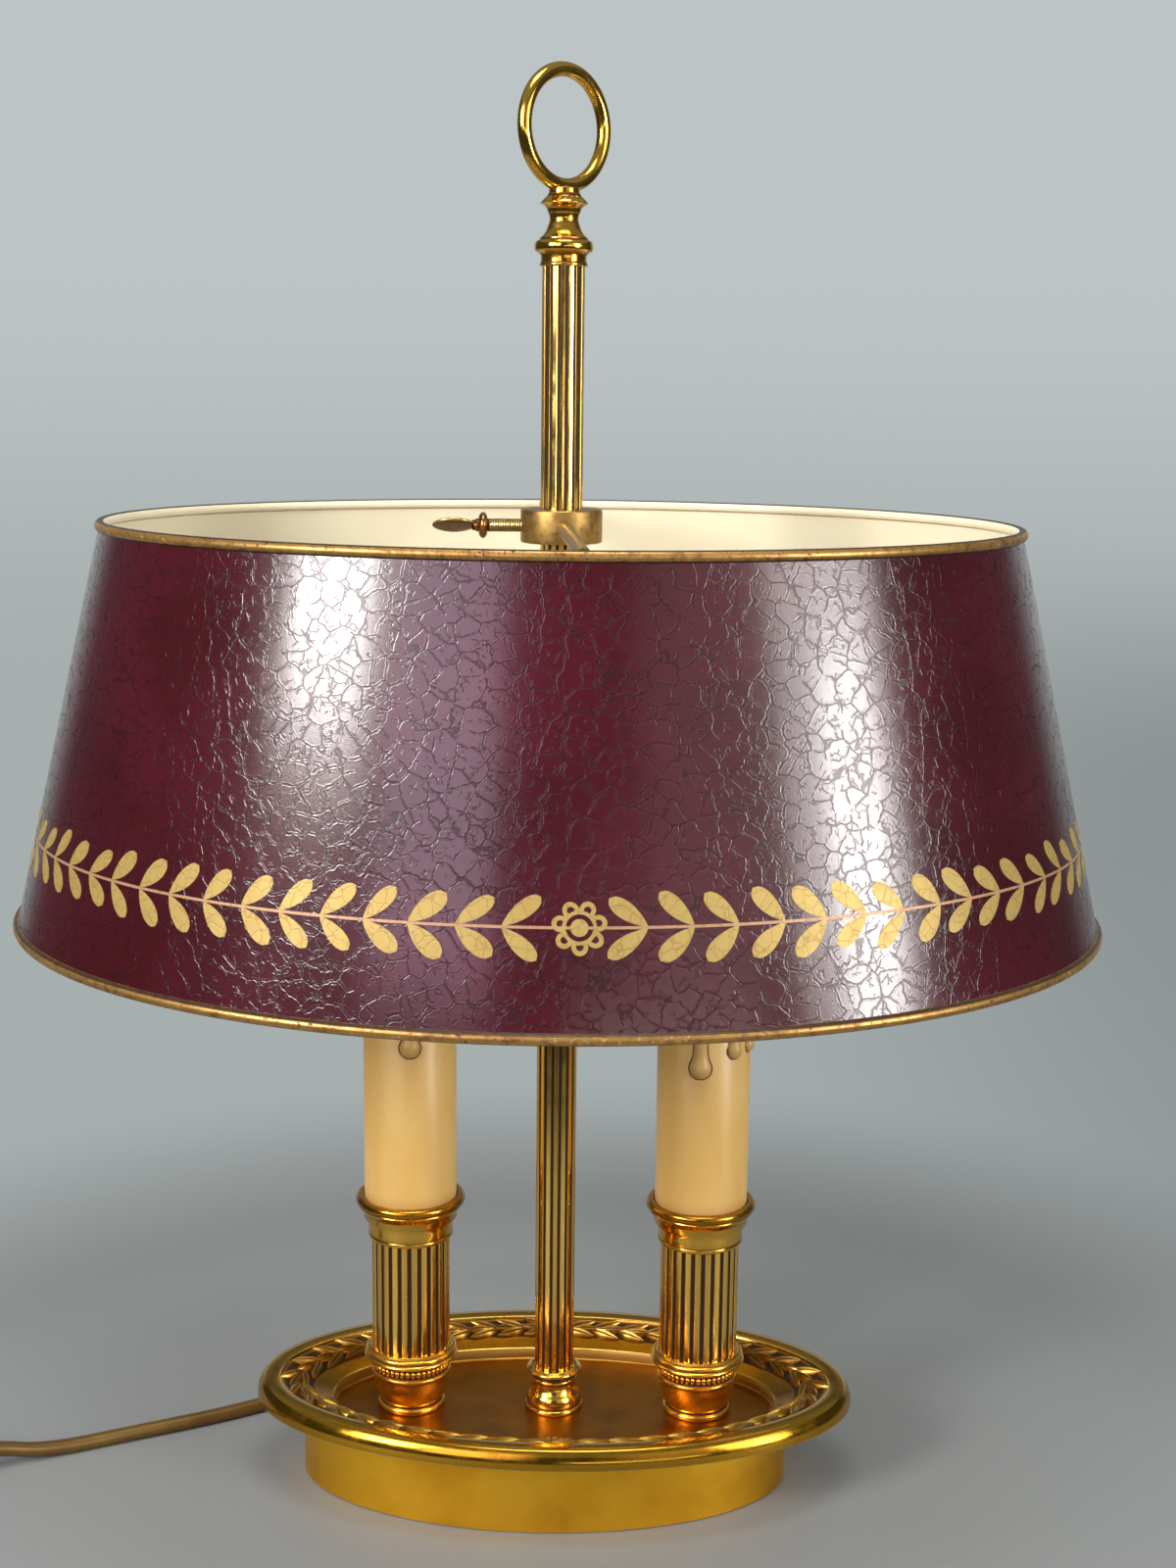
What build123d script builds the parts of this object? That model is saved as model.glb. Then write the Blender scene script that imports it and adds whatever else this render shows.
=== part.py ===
"""Two-light bouillotte lamp: oval brass tray on a foot band, two candle columns, a fluted stem that
carries a sliding oval tole shade, and a flex with an in-line switch and a plug.

Frame: millimetres, +Z up, +X along the oval's long axis, -Y towards the viewer.
Origin: the centre of the stem's axis on the surface that the lamp stands on.
"""
from build123d import *
import math
import os

# ---------------------------------------------------------------- driving dimensions
# Fits and clearances
slide_clearance = 0.05      # radial, shade clamp on stem and thumb screw in its hole
seat_clearance = 0.05       # radial, pieces that drop into one another
moving_gap = 0.3            # air between a moving piece and what it passes

# Foot: felt, cover plate, cast ballast and brass band
foot_half_length = 81.1
foot_half_width = 45.2
foot_wall = 2.0
foot_shift = -3.0           # the band sits a little to the left of the tray
felt_thickness = 1.2
foot_lift = 0.4             # band clears the table by this much, the felt carries the lamp
cover_thickness = 1.5
cover_gap = 0.4             # all round, cover plate and felt inside the band
ballast_half_length = 66.0
ballast_half_width = 37.0
ballast_thickness = 9.0
ballast_boss_radius = 10.0
ballast_access_radius = 12.0
wiring_pocket_half_length = 26.0
wiring_pocket_front = 13.0
cover_screw_radius = 1.9
cover_screw_head_radius = 3.6
cover_screw_length = 7.0
cover_screw_x = 33.0
cover_screw_y = -18.0

# Tray casting
tray_half_length = 99.8
tray_half_width = 54.1
tray_seat_z = 24.0          # underside, where the foot band meets it
rim_lip_width = 4.1         # underside, from the seat out to the lip
rim_lip_z = 25.8            # lip's lower edge
rim_widest_z = 26.4
rim_face_width = 2.4        # outer face, measured inwards from the widest point to the rim's top
rim_top_z = 32.4
rim_top_width = 7.6         # smooth rim, measured inwards from the edge
relief_width = 7.9          # sunk band that carries the leaf relief
relief_depth = 1.2
shoulder_z = 27.4           # top of the band inside the relief
floor_half_width = 34.0
floor_z = 21.8
floor_thickness = 2.3
step_top_z = 25.8
dish_wall = 2.0
dish_clearance = 0.4        # between the dish and the inside of the foot band

# Stem, its collar and the rod inside it
stem_radius = 6.5
stem_bore_radius = 4.6
stem_flutes = 16
stem_flute_cutter = 0.52
stem_flute_turn = 13.0
collar_height = 14.8
collar_foot_radius = 9.5
collar_waist_radius = 6.9
collar_flange_radius = 9.05
collar_seat_depth = 2.4
rod_radius = 3.0
rod_end_below = 5.2         # rod's lower end above the table
washer_radius = 7.5
washer_thickness = 1.2
rod_nut_flats = 10.0
rod_nut_height = 3.2
nut_pocket_radius = 8.6

# Finial
finial_z = 395.7            # lower edge of the finial's skirt
finial_skirt_radius = 7.4
finial_skirt_height = 3.9
finial_seat_depth = 3.2
finial_bead_radius = 9.0
finial_waist_radius = 4.6
finial_flange_radius = 7.4
finial_flange_rise = 18.7   # from the skirt's lower edge
finial_saddle_radius = 4.7
finial_saddle_height = 4.6  # above the flange
finial_thread_depth = 12.0
ring_seat_depth = 1.6       # ring let into the saddle
ring_major_radius = 16.9
ring_wire_radius = 2.2
ring_turn = 47.0            # the ring's plane is turned about the stem

# Candle cups and columns
candle_x = 48.06
foot_ring_radius = 11.3
cup_base_radius = 10.4
cup_rim_radius = 12.7
bead_band_radius = 13.3
flange_radius = 16.3
cup_height = 21.8           # tray floor to the column's lower end
column_radius = 12.9
column_wall = 2.2
column_height = 40.0
column_flutes = 24
column_flute_cutter = 0.72
column_flute_turn = 3.7
spigot_height = 3.0
capital_skirt = 1.5         # the capital hangs over the column's end by this much
capital_skirt_wall = 1.2
capital_height = 13.0       # column's end to the top of the lip
capital_neck_radius = 14.6
lip_radius = 18.5
lip_section_radius = 1.9
cup_floor = 5.2             # thickness of the capital's floor

# Candle sleeves, lampholders and lamps
sleeve_radius = 15.2
sleeve_wall = 1.1
sleeve_length = 84.0
sleeve_gap = 0.2            # radial, sleeve in the capital
nipple_radius = 5.0
nipple_wall = 1.0
nipple_below_floor = 5.0
nipple_into_holder = 12.0
nipple_nut_flats = 14.0
nipple_nut_height = 2.6
holder_radius = 12.4
holder_floor = 6.0
holder_base_z = 104.0
holder_top_below_sleeve = 2.0
holder_wire_chamber_radius = 8.0
holder_chamber_top_z = 134.0
shell_radius = 7.75         # small Edison screw shell
shell_wall = 0.5
shell_depth = 26.0
contact_radius = 3.0
contact_thickness = 1.0
lamp_cap_radius = 6.95
lamp_cap_length = 24.0
lamp_glass_radius = 17.5
lamp_glass_length = 74.0
lamp_neck_radius = 6.2
lamp_glass_wall = 0.9

# Wiring inside the base
terminal_length = 22.0
terminal_width = 13.0
terminal_height = 11.0
terminal_y = 24.5
anchor_length = 16.0
anchor_width = 7.0
anchor_y = 35.5
lead_radius = 1.0
lead_bend_radius = 2.6

# Oval tole shade
shade_bottom_half_length = 170.7
shade_bottom_half_width = 138.6
shade_bottom_z = 193.6
shade_top_half_length = 142.0
shade_top_half_width = 115.4
shade_top_z = 316.9
shade_sheet = 0.6
rim_wire_radius = 1.7

# Shade clamp, arms and thumb screw
clamp_rise = 0.1            # arms' axis above the top rim's
clamp_radius = 12.75
clamp_height = 10.4
clamp_chamfer = 0.5
clamp_turn = 5.0            # arms and screw are turned this much from the shade's axes
arm_radius = 2.2
arm_socket_depth = 3.2
screw_radius = 2.2
screw_exposed = 10.3        # thread that stands out of the clamp
screw_bead_radius = 4.15
screw_bead_length = 2.8
screw_neck_length = 2.0
paddle_length = 13.4
paddle_width = 11.0
paddle_thickness = 2.3
paddle_tilt = 24.0          # its near edge stands up by this angle

# Flex, bush, switch and plug
cord_radius = 2.5
cord_exit_z = 9.0
bush_flange = 1.4
bush_flange_radius = 5.6
bush_length = 22.0
bush_root_radius = 4.9
bush_tip_radius = 3.3
bush_hole_radius = 4.0
switch_length = 60.0
switch_width = 26.0
switch_height = 16.0
switch_wall = 1.8
switch_corner = 7.0
rocker_length = 15.0
rocker_width = 9.0
rocker_rise = 2.6
rocker_tilt = 8.0
rocker_pin_radius = 1.0
rocker_pivot_depth = 2.4    # below the inside of the case's top
switch_screw_radius = 1.5
switch_screw_head_radius = 2.8
plug_length = 34.0
plug_width = 35.0
plug_height = 13.7
plug_back_width = 14.0
plug_back_height = 11.5
plug_relief_length = 18.0
plug_pin_radius = 2.0
plug_pin_length = 19.0
plug_pin_spacing = 18.6
coil_turn_radius = 29.5     # at the middle of the turns
coil_columns = 3
coil_layers = 3
coil_centre = (-305.2, -28.0)

# The flex's route, point by point: bush to switch, switch to coil, coil to plug.
# Its first point is at the bush's tip and is worked out from the foot below.
lead_points = [
    (0.0, 83.7, cord_exit_z),
    (-7.5, 96.7, 6.4),
    (-21.4, 104.7, 3.8),
    (-37.4, 104.7, cord_radius),
    (-52.8, 97.5, cord_radius),
    (-67.0, 79.0, cord_radius),
    (-82.0, 57.0, cord_radius),
    (-98.0, 38.0, cord_radius),
    (-118.0, 24.6, cord_radius),
    (-146.0, 10.3, cord_radius),
    (-172.0, -3.6, cord_radius),
    (-188.0, -12.2, switch_height / 2),
    (-203.0, -20.2, switch_height / 2),
]
switch_heading = 208.07     # degrees from +X, along the flex
tail_points = [
    (-268.2, -55.0, switch_height / 2),
    (-284.0, -60.6, cord_radius),
    (-301.6, -62.3, cord_radius),
]
plug_heading = 60.0
end_points = [
    (-335.1, -10.75, 12.5),
    (-326.6, 3.97, 12.5),
    (-316.6, 21.3, plug_height / 2),
    (-309.6, 33.4, plug_height / 2),
]

# ---------------------------------------------------------------- heights worked out from the above
cover_z = felt_thickness
ballast_z = cover_z + cover_thickness
ballast_top = ballast_z + ballast_thickness
floor_under = floor_z - floor_thickness
foot_inner_length = foot_half_length - foot_wall
foot_inner_width = foot_half_width - foot_wall
dish_half_length = foot_inner_length - abs(foot_shift) - dish_clearance
dish_half_width = floor_half_width + dish_wall
floor_half_length = dish_half_length - dish_wall
collar_top = floor_z + collar_height
stem_bottom = collar_top - collar_seat_depth
stem_top = finial_z + finial_seat_depth
flange_z = finial_z + finial_flange_rise
ring_centre_z = flange_z + finial_saddle_height - ring_seat_depth + ring_wire_radius + ring_major_radius
clamp_z = shade_top_z + clamp_rise
cup_top = floor_z + cup_height
column_top = cup_top + column_height
column_bore = column_radius - column_wall
lip_top = column_top + capital_height
sleeve_seat = column_top + cup_floor
sleeve_top = sleeve_seat + sleeve_length
holder_top = sleeve_top - holder_top_below_sleeve
nipple_bottom = floor_under - nipple_below_floor
nipple_top = holder_base_z + nipple_into_holder
shell_bottom = holder_top - shell_depth
lamp_cap_bottom = shell_bottom + contact_thickness
cord_tip_y = foot_half_width + bush_flange + bush_length
switch_start = lead_points[-1]
pivot_z = switch_height - switch_wall - rocker_pivot_depth
plug_start = end_points[-1]


# ---------------------------------------------------------------- helpers
def oval(half_length, half_width, z=0.0, x=0.0):
    """An elliptical face at a height."""
    return Pos(x, 0, z) * Ellipse(half_length, half_width)


def oval_block(half_length, half_width, z, height, x=0.0):
    """An upright elliptical block."""
    return extrude(oval(half_length, half_width, z, x), height, dir=(0, 0, 1))


def rod(radius, z, height, x=0.0, y=0.0):
    """An upright cylinder that stands on z."""
    return Pos(x, y, z) * Cylinder(radius, height, align=(Align.CENTER, Align.CENTER, Align.MIN))


def tube(radius, bore, z, height, x=0.0, y=0.0):
    """An upright tube that stands on z."""
    return rod(radius, z, height, x, y) - rod(bore, z, height, x, y)


def turned(*lines):
    """A solid of revolution about Z from the lines of a closed half profile in the XZ plane."""
    return revolve(make_face(Wire(Curve() + list(lines)).edges()), Axis.Z)


def line_xz(*points):
    """A chain of straight lines through (radius, height) points."""
    return Polyline(*[(r, 0, z) for r, z in points])


def curve_xz(*points, start=None, end=None):
    """A smooth curve through (radius, height) points, with optional end directions."""
    tangents = [(r, 0, z) for r, z in (start, end)] if start and end else ()
    return Spline(*[(r, 0, z) for r, z in points], tangents=tangents)


def hexagon_nut(flats, bore, z, height, x=0.0):
    """A plain hexagon nut that stands on z."""
    body = extrude(Pos(x, 0, z) * RegularPolygon(flats / 2, 6, major_radius=False), height, dir=(0, 0, 1))
    return body - rod(bore, z, height, x)


def fluted_tube(radius, bore, flutes, cutter, turn, z, height, x=0.0):
    """A tube whose outside carries evenly spaced round-bottomed flutes."""
    section = Circle(radius) - Circle(bore)
    section -= [place * Circle(cutter) for place in PolarLocations(radius + 0.2 * cutter, flutes, turn)]
    return Pos(x, 0, z) * extrude(section, height, dir=(0, 0, 1))


def oval_ring(half_length, half_width, z, wire_radius):
    """A round wire bent to an oval."""
    path = Pos(0, 0, z) * Edge.make_ellipse(half_length, half_width)
    return sweep(Plane(path @ 0, z_dir=path % 0) * Circle(wire_radius), path=path)


def heading_frame(point, heading):
    """A location at a point whose X axis runs along a heading on the table."""
    return Pos(*point) * Rot(0, 0, heading)


# ---------------------------------------------------------------- foot
def make_foot_band():
    """Drawn brass band, with a hole for the flex bush at the back."""
    height = tray_seat_z - foot_lift
    band = oval_block(foot_half_length, foot_half_width, foot_lift, height, foot_shift)
    band -= oval_block(foot_inner_length, foot_inner_width, foot_lift, height, foot_shift)
    hole = Pos(0, foot_half_width, cord_exit_z) * Rot(90, 0, 0) * Cylinder(bush_hole_radius, 6 * foot_wall)
    return band - hole


def make_ballast():
    """Cast iron weight with a boss up to the tray, a nut pocket, access holes and a wiring pocket."""
    weight = oval_block(ballast_half_length, ballast_half_width, ballast_z, ballast_thickness, foot_shift)
    pocket_length = ballast_half_width - wiring_pocket_front
    pocket = Pos(0, wiring_pocket_front, ballast_z) * Box(
        2 * wiring_pocket_half_length, 2 * pocket_length, ballast_thickness,
        align=(Align.CENTER, Align.MIN, Align.MIN))
    weight -= pocket
    weight += rod(ballast_boss_radius, ballast_z, floor_under - ballast_z)
    for side in (-1, 1):
        weight -= rod(ballast_access_radius, ballast_z, ballast_thickness, side * candle_x)
        weight -= rod(cover_screw_radius, ballast_z, cover_screw_length, side * cover_screw_x, cover_screw_y)
    nut_pocket = rod_end_below - ballast_z + rod_nut_height + washer_thickness
    weight -= rod(nut_pocket_radius, ballast_z, nut_pocket)
    return weight - rod(rod_radius + seat_clearance, ballast_z, floor_under)


def make_bottom_plate():
    """Steel cover with countersunk holes for its two screws."""
    plate = oval_block(foot_inner_length - cover_gap, foot_inner_width - cover_gap,
                       cover_z, cover_thickness, foot_shift)
    return plate - make_cover_screws()


def make_base_felt():
    """Felt that carries the lamp, glued under the cover."""
    return oval_block(foot_inner_length - cover_gap, foot_inner_width - cover_gap,
                      0, felt_thickness, foot_shift)


def make_cover_screws():
    """Two countersunk screws from the cover into the ballast."""
    head = Cone(cover_screw_head_radius, cover_screw_radius, cover_thickness,
                align=(Align.CENTER, Align.CENTER, Align.MIN))
    shank = rod(cover_screw_radius, 0, cover_screw_length)
    places = [Pos(side * cover_screw_x, cover_screw_y, cover_z) for side in (-1, 1)]
    return Compound([place * (head + shank) for place in places])


# ---------------------------------------------------------------- tray
def tray_edge_profile():
    """Closed section of the tray's edge at the end of the long axis: rim, sunk relief band, shoulder."""
    def at(inwards, z):
        return (tray_half_length - inwards, 0, z)

    relief_end = rim_top_width + relief_width
    shoulder_end = relief_end + 2.0
    face_height = rim_top_z - rim_widest_z
    outline = Curve() + [
        Line(at(rim_lip_width, tray_seat_z), at(0.2 * rim_lip_width, rim_lip_z)),
        Line(at(0.2 * rim_lip_width, rim_lip_z), at(0, rim_widest_z)),
        ThreePointArc(at(0, rim_widest_z), at(0.29 * rim_face_width, rim_widest_z + 0.6 * face_height),
                      at(rim_face_width, rim_top_z - 0.1)),
        ThreePointArc(at(rim_face_width, rim_top_z - 0.1), at(0.5 * (rim_face_width + rim_top_width), rim_top_z),
                      at(rim_top_width, rim_top_z - 0.1)),
        Line(at(rim_top_width, rim_top_z - 0.1), at(rim_top_width + 0.4, rim_top_z - relief_depth)),
        Line(at(rim_top_width + 0.4, rim_top_z - relief_depth), at(relief_end, shoulder_z)),
        Line(at(relief_end, shoulder_z), at(shoulder_end, shoulder_z)),
        Line(at(shoulder_end, shoulder_z), at(shoulder_end, tray_seat_z)),
        Line(at(shoulder_end, tray_seat_z), at(rim_lip_width, tray_seat_z)),
    ]
    return make_face(outline.edges()), relief_end


def make_tray():
    """Cast tray: an edge swept round the oval, a sloping shoulder and a sunk floor with three holes."""
    profile, relief_end = tray_edge_profile()
    path = Edge.make_ellipse(tray_half_length, tray_half_width)
    edge = sweep(profile, path=path)
    inset = relief_end + 1.0
    plate = oval_block(tray_half_length - inset, tray_half_width - inset,
                       tray_seat_z, shoulder_z - tray_seat_z)
    slope = loft([oval(floor_half_length, floor_half_width, step_top_z),
                  oval(tray_half_length - inset - 1.0, tray_half_width - inset - 1.0, shoulder_z)])
    dish = oval_block(dish_half_length, dish_half_width, floor_under, tray_seat_z - floor_under)
    hollow = oval_block(floor_half_length, floor_half_width, floor_z, shoulder_z - floor_z)
    tray = edge + (plate - slope) + dish - hollow
    tray -= rod(rod_radius + seat_clearance, floor_under, floor_thickness)
    for side in (-1, 1):
        tray -= rod(nipple_radius + seat_clearance, floor_under, floor_thickness, side * candle_x)
    return tray


# ---------------------------------------------------------------- stem and finial
def make_stem_collar():
    """Turned collar with a bell foot, a waist and a flange that takes the stem's end."""
    top, foot = collar_top, floor_z
    bell = curve_xz((collar_foot_radius - 0.2, foot + 2.6), (collar_foot_radius - 1.3, foot + 6.0),
                    (collar_waist_radius, foot + 9.6), start=(0, 1), end=(0, 1))
    outline = [
        line_xz((rod_radius + seat_clearance, foot), (collar_foot_radius - 0.3, foot)),
        ThreePointArc((collar_foot_radius - 0.3, 0, foot), (collar_foot_radius, 0, foot + 0.8),
                      (collar_foot_radius - 0.3, 0, foot + 1.6)),
        line_xz((collar_foot_radius - 0.3, foot + 1.6), (collar_foot_radius - 0.7, foot + 1.9),
                (collar_foot_radius - 0.2, foot + 2.6)),
        bell,
        line_xz((collar_waist_radius, foot + 9.6), (collar_waist_radius + 0.9, foot + 10.3),
                (collar_waist_radius + 0.9, foot + 11.3), (collar_waist_radius + 0.2, foot + 11.9),
                (collar_flange_radius - 0.6, top - 1.9)),
        ThreePointArc((collar_flange_radius - 0.6, 0, top - 1.9), (collar_flange_radius, 0, top - 1.2),
                      (collar_flange_radius - 0.6, 0, top - 0.4)),
        line_xz((collar_flange_radius - 0.6, top - 0.4), (collar_flange_radius - 1.4, top),
                (stem_radius + seat_clearance, top), (stem_radius + seat_clearance, stem_bottom),
                (rod_radius + seat_clearance, stem_bottom), (rod_radius + seat_clearance, foot)),
    ]
    return turned(*outline)


def make_stem_tube():
    """Fluted brass stem between the collar and the finial."""
    return fluted_tube(stem_radius, stem_bore_radius, stem_flutes, stem_flute_cutter, stem_flute_turn,
                       stem_bottom, stem_top - stem_bottom)


def make_tie_rod():
    """Steel rod that pulls ballast, tray, collar, stem and finial together."""
    return rod(rod_radius, rod_end_below, stem_top + finial_thread_depth - rod_end_below)


def make_rod_washer():
    """Washer under the ballast."""
    z = rod_end_below + rod_nut_height
    return tube(washer_radius, rod_radius + seat_clearance, z, washer_thickness)


def make_rod_nut():
    """Nut at the rod's lower end."""
    return hexagon_nut(rod_nut_flats, rod_radius, rod_end_below, rod_nut_height)


def make_finial_ring():
    """Plain ring that the lamp is lifted by."""
    return Pos(0, 0, ring_centre_z) * Rot(0, 0, ring_turn) * Rot(90, 0, 0) * Torus(
        ring_major_radius, ring_wire_radius)


def make_finial_baluster():
    """Turned finial: skirt over the stem's end, bead, waist and flange, with a saddle for the ring."""
    skirt_top = finial_z + finial_skirt_height
    bead_z = skirt_top + 2.1
    saddle_top = flange_z + finial_saddle_height
    outline = [
        line_xz((stem_radius + seat_clearance, finial_z), (finial_skirt_radius, finial_z),
                (finial_skirt_radius, skirt_top), (finial_bead_radius - 0.8, skirt_top + 0.3)),
        ThreePointArc((finial_bead_radius - 0.8, 0, skirt_top + 0.3), (finial_bead_radius, 0, bead_z),
                      (finial_bead_radius - 0.9, 0, bead_z + 1.8)),
        line_xz((finial_bead_radius - 0.9, bead_z + 1.8), (finial_bead_radius - 1.5, bead_z + 2.5)),
        curve_xz((finial_bead_radius - 1.5, bead_z + 2.5), (finial_waist_radius + 0.9, bead_z + 5.0),
                 (finial_waist_radius, bead_z + 8.2), (finial_waist_radius + 0.7, flange_z - 2.3),
                 (finial_flange_radius - 0.3, flange_z - 0.3)),
        line_xz((finial_flange_radius - 0.3, flange_z - 0.3), (finial_flange_radius, flange_z),
                (finial_flange_radius - 0.3, flange_z + 0.4), (finial_saddle_radius + 0.9, flange_z + 1.9),
                (finial_saddle_radius + 0.2, flange_z + 2.7), (finial_saddle_radius, saddle_top),
                (0, saddle_top), (0, stem_top + finial_thread_depth),
                (rod_radius, stem_top + finial_thread_depth), (rod_radius, stem_top),
                (stem_radius + seat_clearance, stem_top), (stem_radius + seat_clearance, finial_z)),
    ]
    return turned(*outline) - make_finial_ring()


# ---------------------------------------------------------------- candles
def make_candle_cup(x):
    """Turned urn between tray and column: foot ring, flared cup, bead band, flange and spigot."""
    z = floor_z
    top = cup_top
    bore = nipple_radius + seat_clearance
    spigot = column_bore - seat_clearance
    outline = [
        line_xz((bore, z), (foot_ring_radius - 0.3, z)),
        ThreePointArc((foot_ring_radius - 0.3, 0, z), (foot_ring_radius, 0, z + 1.0),
                      (foot_ring_radius - 0.3, 0, z + 2.0)),
        line_xz((foot_ring_radius - 0.3, z + 2.0), (cup_base_radius, z + 2.6)),
        curve_xz((cup_base_radius, z + 2.6), (cup_base_radius + 1.5, z + 6.2), (cup_rim_radius, z + 11.6)),
        line_xz((cup_rim_radius, z + 11.6), (cup_rim_radius + 0.4, z + 12.2),
                (cup_rim_radius + 0.4, z + 13.2), (cup_rim_radius - 0.3, z + 13.7),
                (bead_band_radius - 0.6, z + 14.2)),
        ThreePointArc((bead_band_radius - 0.6, 0, z + 14.2), (bead_band_radius, 0, z + 15.6),
                      (bead_band_radius - 0.6, 0, z + 17.0)),
        line_xz((bead_band_radius - 0.6, z + 17.0), (bead_band_radius - 0.6, z + 17.6),
                (flange_radius - 1.4, z + 18.0)),
        ThreePointArc((flange_radius - 1.4, 0, z + 18.0), (flange_radius, 0, z + 19.4),
                      (flange_radius - 1.4, 0, z + 20.7)),
        line_xz((flange_radius - 1.4, z + 20.7), (flange_radius - 2.2, top), (spigot, top),
                (spigot, top + spigot_height), (spigot - 2.0, top + spigot_height),
                (spigot - 2.0, top - 2.0), (bore, top - 2.0), (bore, z)),
    ]
    return Pos(x, 0, 0) * turned(*outline)


def make_column(x):
    """Fluted candle column."""
    return fluted_tube(column_radius, column_bore, column_flutes, column_flute_cutter, column_flute_turn,
                       cup_top, column_height, x)


def make_capital(x):
    """Turned capital: skirt over the column, hollow neck, rolled lip and a cup for the sleeve."""
    edge = column_top - capital_skirt
    skirt = column_radius + seat_clearance + capital_skirt_wall
    socket = column_radius + seat_clearance
    spigot = column_bore - seat_clearance
    cup = sleeve_radius + sleeve_gap
    bore = nipple_radius + seat_clearance
    lip_z = lip_top - lip_section_radius
    neck_top = lip_z - lip_section_radius
    outline = [
        line_xz((socket, edge), (skirt - 0.4, edge)),
        ThreePointArc((skirt - 0.4, 0, edge), (skirt, 0, edge + 0.9), (skirt + 0.1, 0, edge + 3.2)),
        curve_xz((skirt + 0.1, edge + 3.2), (capital_neck_radius + 0.4, edge + 6.2),
                 (lip_radius - 2.6, neck_top - 0.8), (lip_radius - 1.2, neck_top)),
        line_xz((lip_radius - 1.2, neck_top), (lip_radius - 0.9, neck_top + 0.6),
                (lip_radius - 1.3, neck_top + 0.9)),
        ThreePointArc((lip_radius - 1.3, 0, neck_top + 0.9), (lip_radius, 0, lip_z + 0.4),
                      (lip_radius - lip_section_radius, 0, lip_top)),
        line_xz((lip_radius - lip_section_radius, lip_top), (cup, lip_top - 0.6), (cup, sleeve_seat),
                (bore, sleeve_seat), (bore, column_top), (spigot - 2.0, column_top),
                (spigot - 2.0, column_top - spigot_height), (spigot, column_top - spigot_height),
                (spigot, column_top), (socket, column_top), (socket, edge)),
    ]
    return Pos(x, 0, 0) * turned(*outline)


def wax_drip(angle, bottom_z, bulb_radius, width):
    """A run of wax down the sleeve that ends in a drop."""
    stand = sleeve_radius + 0.15 * bulb_radius
    run = rod(width / 2, bottom_z + bulb_radius, sleeve_top - bottom_z - 2 * bulb_radius, stand)
    cap = Pos(stand, 0, sleeve_top - bulb_radius) * Sphere(width / 2)
    drop = Pos(stand, 0, bottom_z + bulb_radius) * Sphere(bulb_radius)
    return Rot(0, 0, angle) * (run + cap + drop)


def make_sleeve(x, drips):
    """Candle-shaped sleeve with its wax runs."""
    sleeve = rod(sleeve_radius, sleeve_seat, sleeve_length)
    for drip in drips:
        sleeve += wax_drip(*drip)
    return Pos(x, 0, 0) * (sleeve - rod(sleeve_radius - sleeve_wall, sleeve_seat, sleeve_length))


def make_nipple(x):
    """Threaded tube that ties tray, cup, column, capital and lampholder."""
    return tube(nipple_radius, nipple_radius - nipple_wall, nipple_bottom, nipple_top - nipple_bottom, x)


def make_nipple_nut(x):
    """Nut under the tray."""
    return hexagon_nut(nipple_nut_flats, nipple_radius, floor_under - nipple_nut_height, nipple_nut_height, x)


def make_holder_body(x):
    """Moulded lampholder: threaded foot, wiring chamber and a socket for the screw shell."""
    bore = nipple_radius
    chamber = holder_wire_chamber_radius
    socket = shell_radius
    outline = [line_xz(
        (bore, holder_base_z), (holder_radius - 1.0, holder_base_z), (holder_radius, holder_base_z + 1.0),
        (holder_radius, holder_top - 0.8), (holder_radius - 0.8, holder_top), (socket, holder_top),
        (socket, shell_bottom), (contact_radius, shell_bottom),
        (contact_radius, holder_chamber_top_z), (chamber, holder_chamber_top_z),
        (chamber, holder_base_z + holder_floor), (bore, holder_base_z + holder_floor), (bore, holder_base_z))]
    return Pos(x, 0, 0) * turned(*outline)


def make_screw_shell(x):
    """Threaded shell of the lampholder."""
    return tube(shell_radius, shell_radius - shell_wall, shell_bottom, shell_depth - 1.0, x)


def make_centre_contact(x):
    """Centre contact at the bottom of the socket."""
    return rod(contact_radius, shell_bottom - 4.0, 4.0 + contact_thickness, x)


def make_lamp_cap(x):
    """Screw cap of the lamp with its solder tip."""
    z = lamp_cap_bottom
    outline = [line_xz((0, z), (2.4, z), (3.0, z + 1.6), (lamp_cap_radius, z + 3.8),
                       (lamp_cap_radius, z + lamp_cap_length), (0, z + lamp_cap_length), (0, z))]
    return Pos(x, 0, 0) * turned(*outline)


def glass_curve(inset):
    """Half outline of the lamp's glass from its neck to its tip, moved inwards by an inset."""
    z = lamp_cap_bottom + lamp_cap_length
    return curve_xz(
        (lamp_neck_radius - inset, z), (lamp_neck_radius + 1.6 - inset, z + 6.0),
        (lamp_glass_radius - inset, z + 0.36 * lamp_glass_length),
        (0.62 * lamp_glass_radius - inset, z + 0.76 * lamp_glass_length),
        (0, z + lamp_glass_length - 2 * inset), start=(0, 1), end=(-1, 0.5))


def make_lamp_glass(x):
    """Candle-shaped glass envelope, open at its neck where the cap closes it."""
    outside = glass_curve(0)
    inside = glass_curve(lamp_glass_wall)
    return Pos(x, 0, 0) * turned(
        outside, Line(outside @ 1, inside @ 1), inside, Line(inside @ 0, outside @ 0))


def make_lead(side):
    """Twin lead from the terminal block, across the ballast and up a column to its lampholder."""
    x = side * candle_x
    over = ballast_top + 1.6 * lead_radius
    points = [
        (side * terminal_length / 2, terminal_y, ballast_z + 0.6 * terminal_height),
        (side * (terminal_length / 2 + 7.0), terminal_y - 2.0, over),
        (side * (candle_x - 12.0), 9.0, over),
        (x, 0, over - 1.0),
        (x, 0, holder_base_z + holder_floor + 12.0),
    ]
    path = FilletPolyline(*points, radius=lead_bend_radius)
    return sweep(Plane(path @ 0, z_dir=path % 0) * Circle(lead_radius), path=path)


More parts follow.
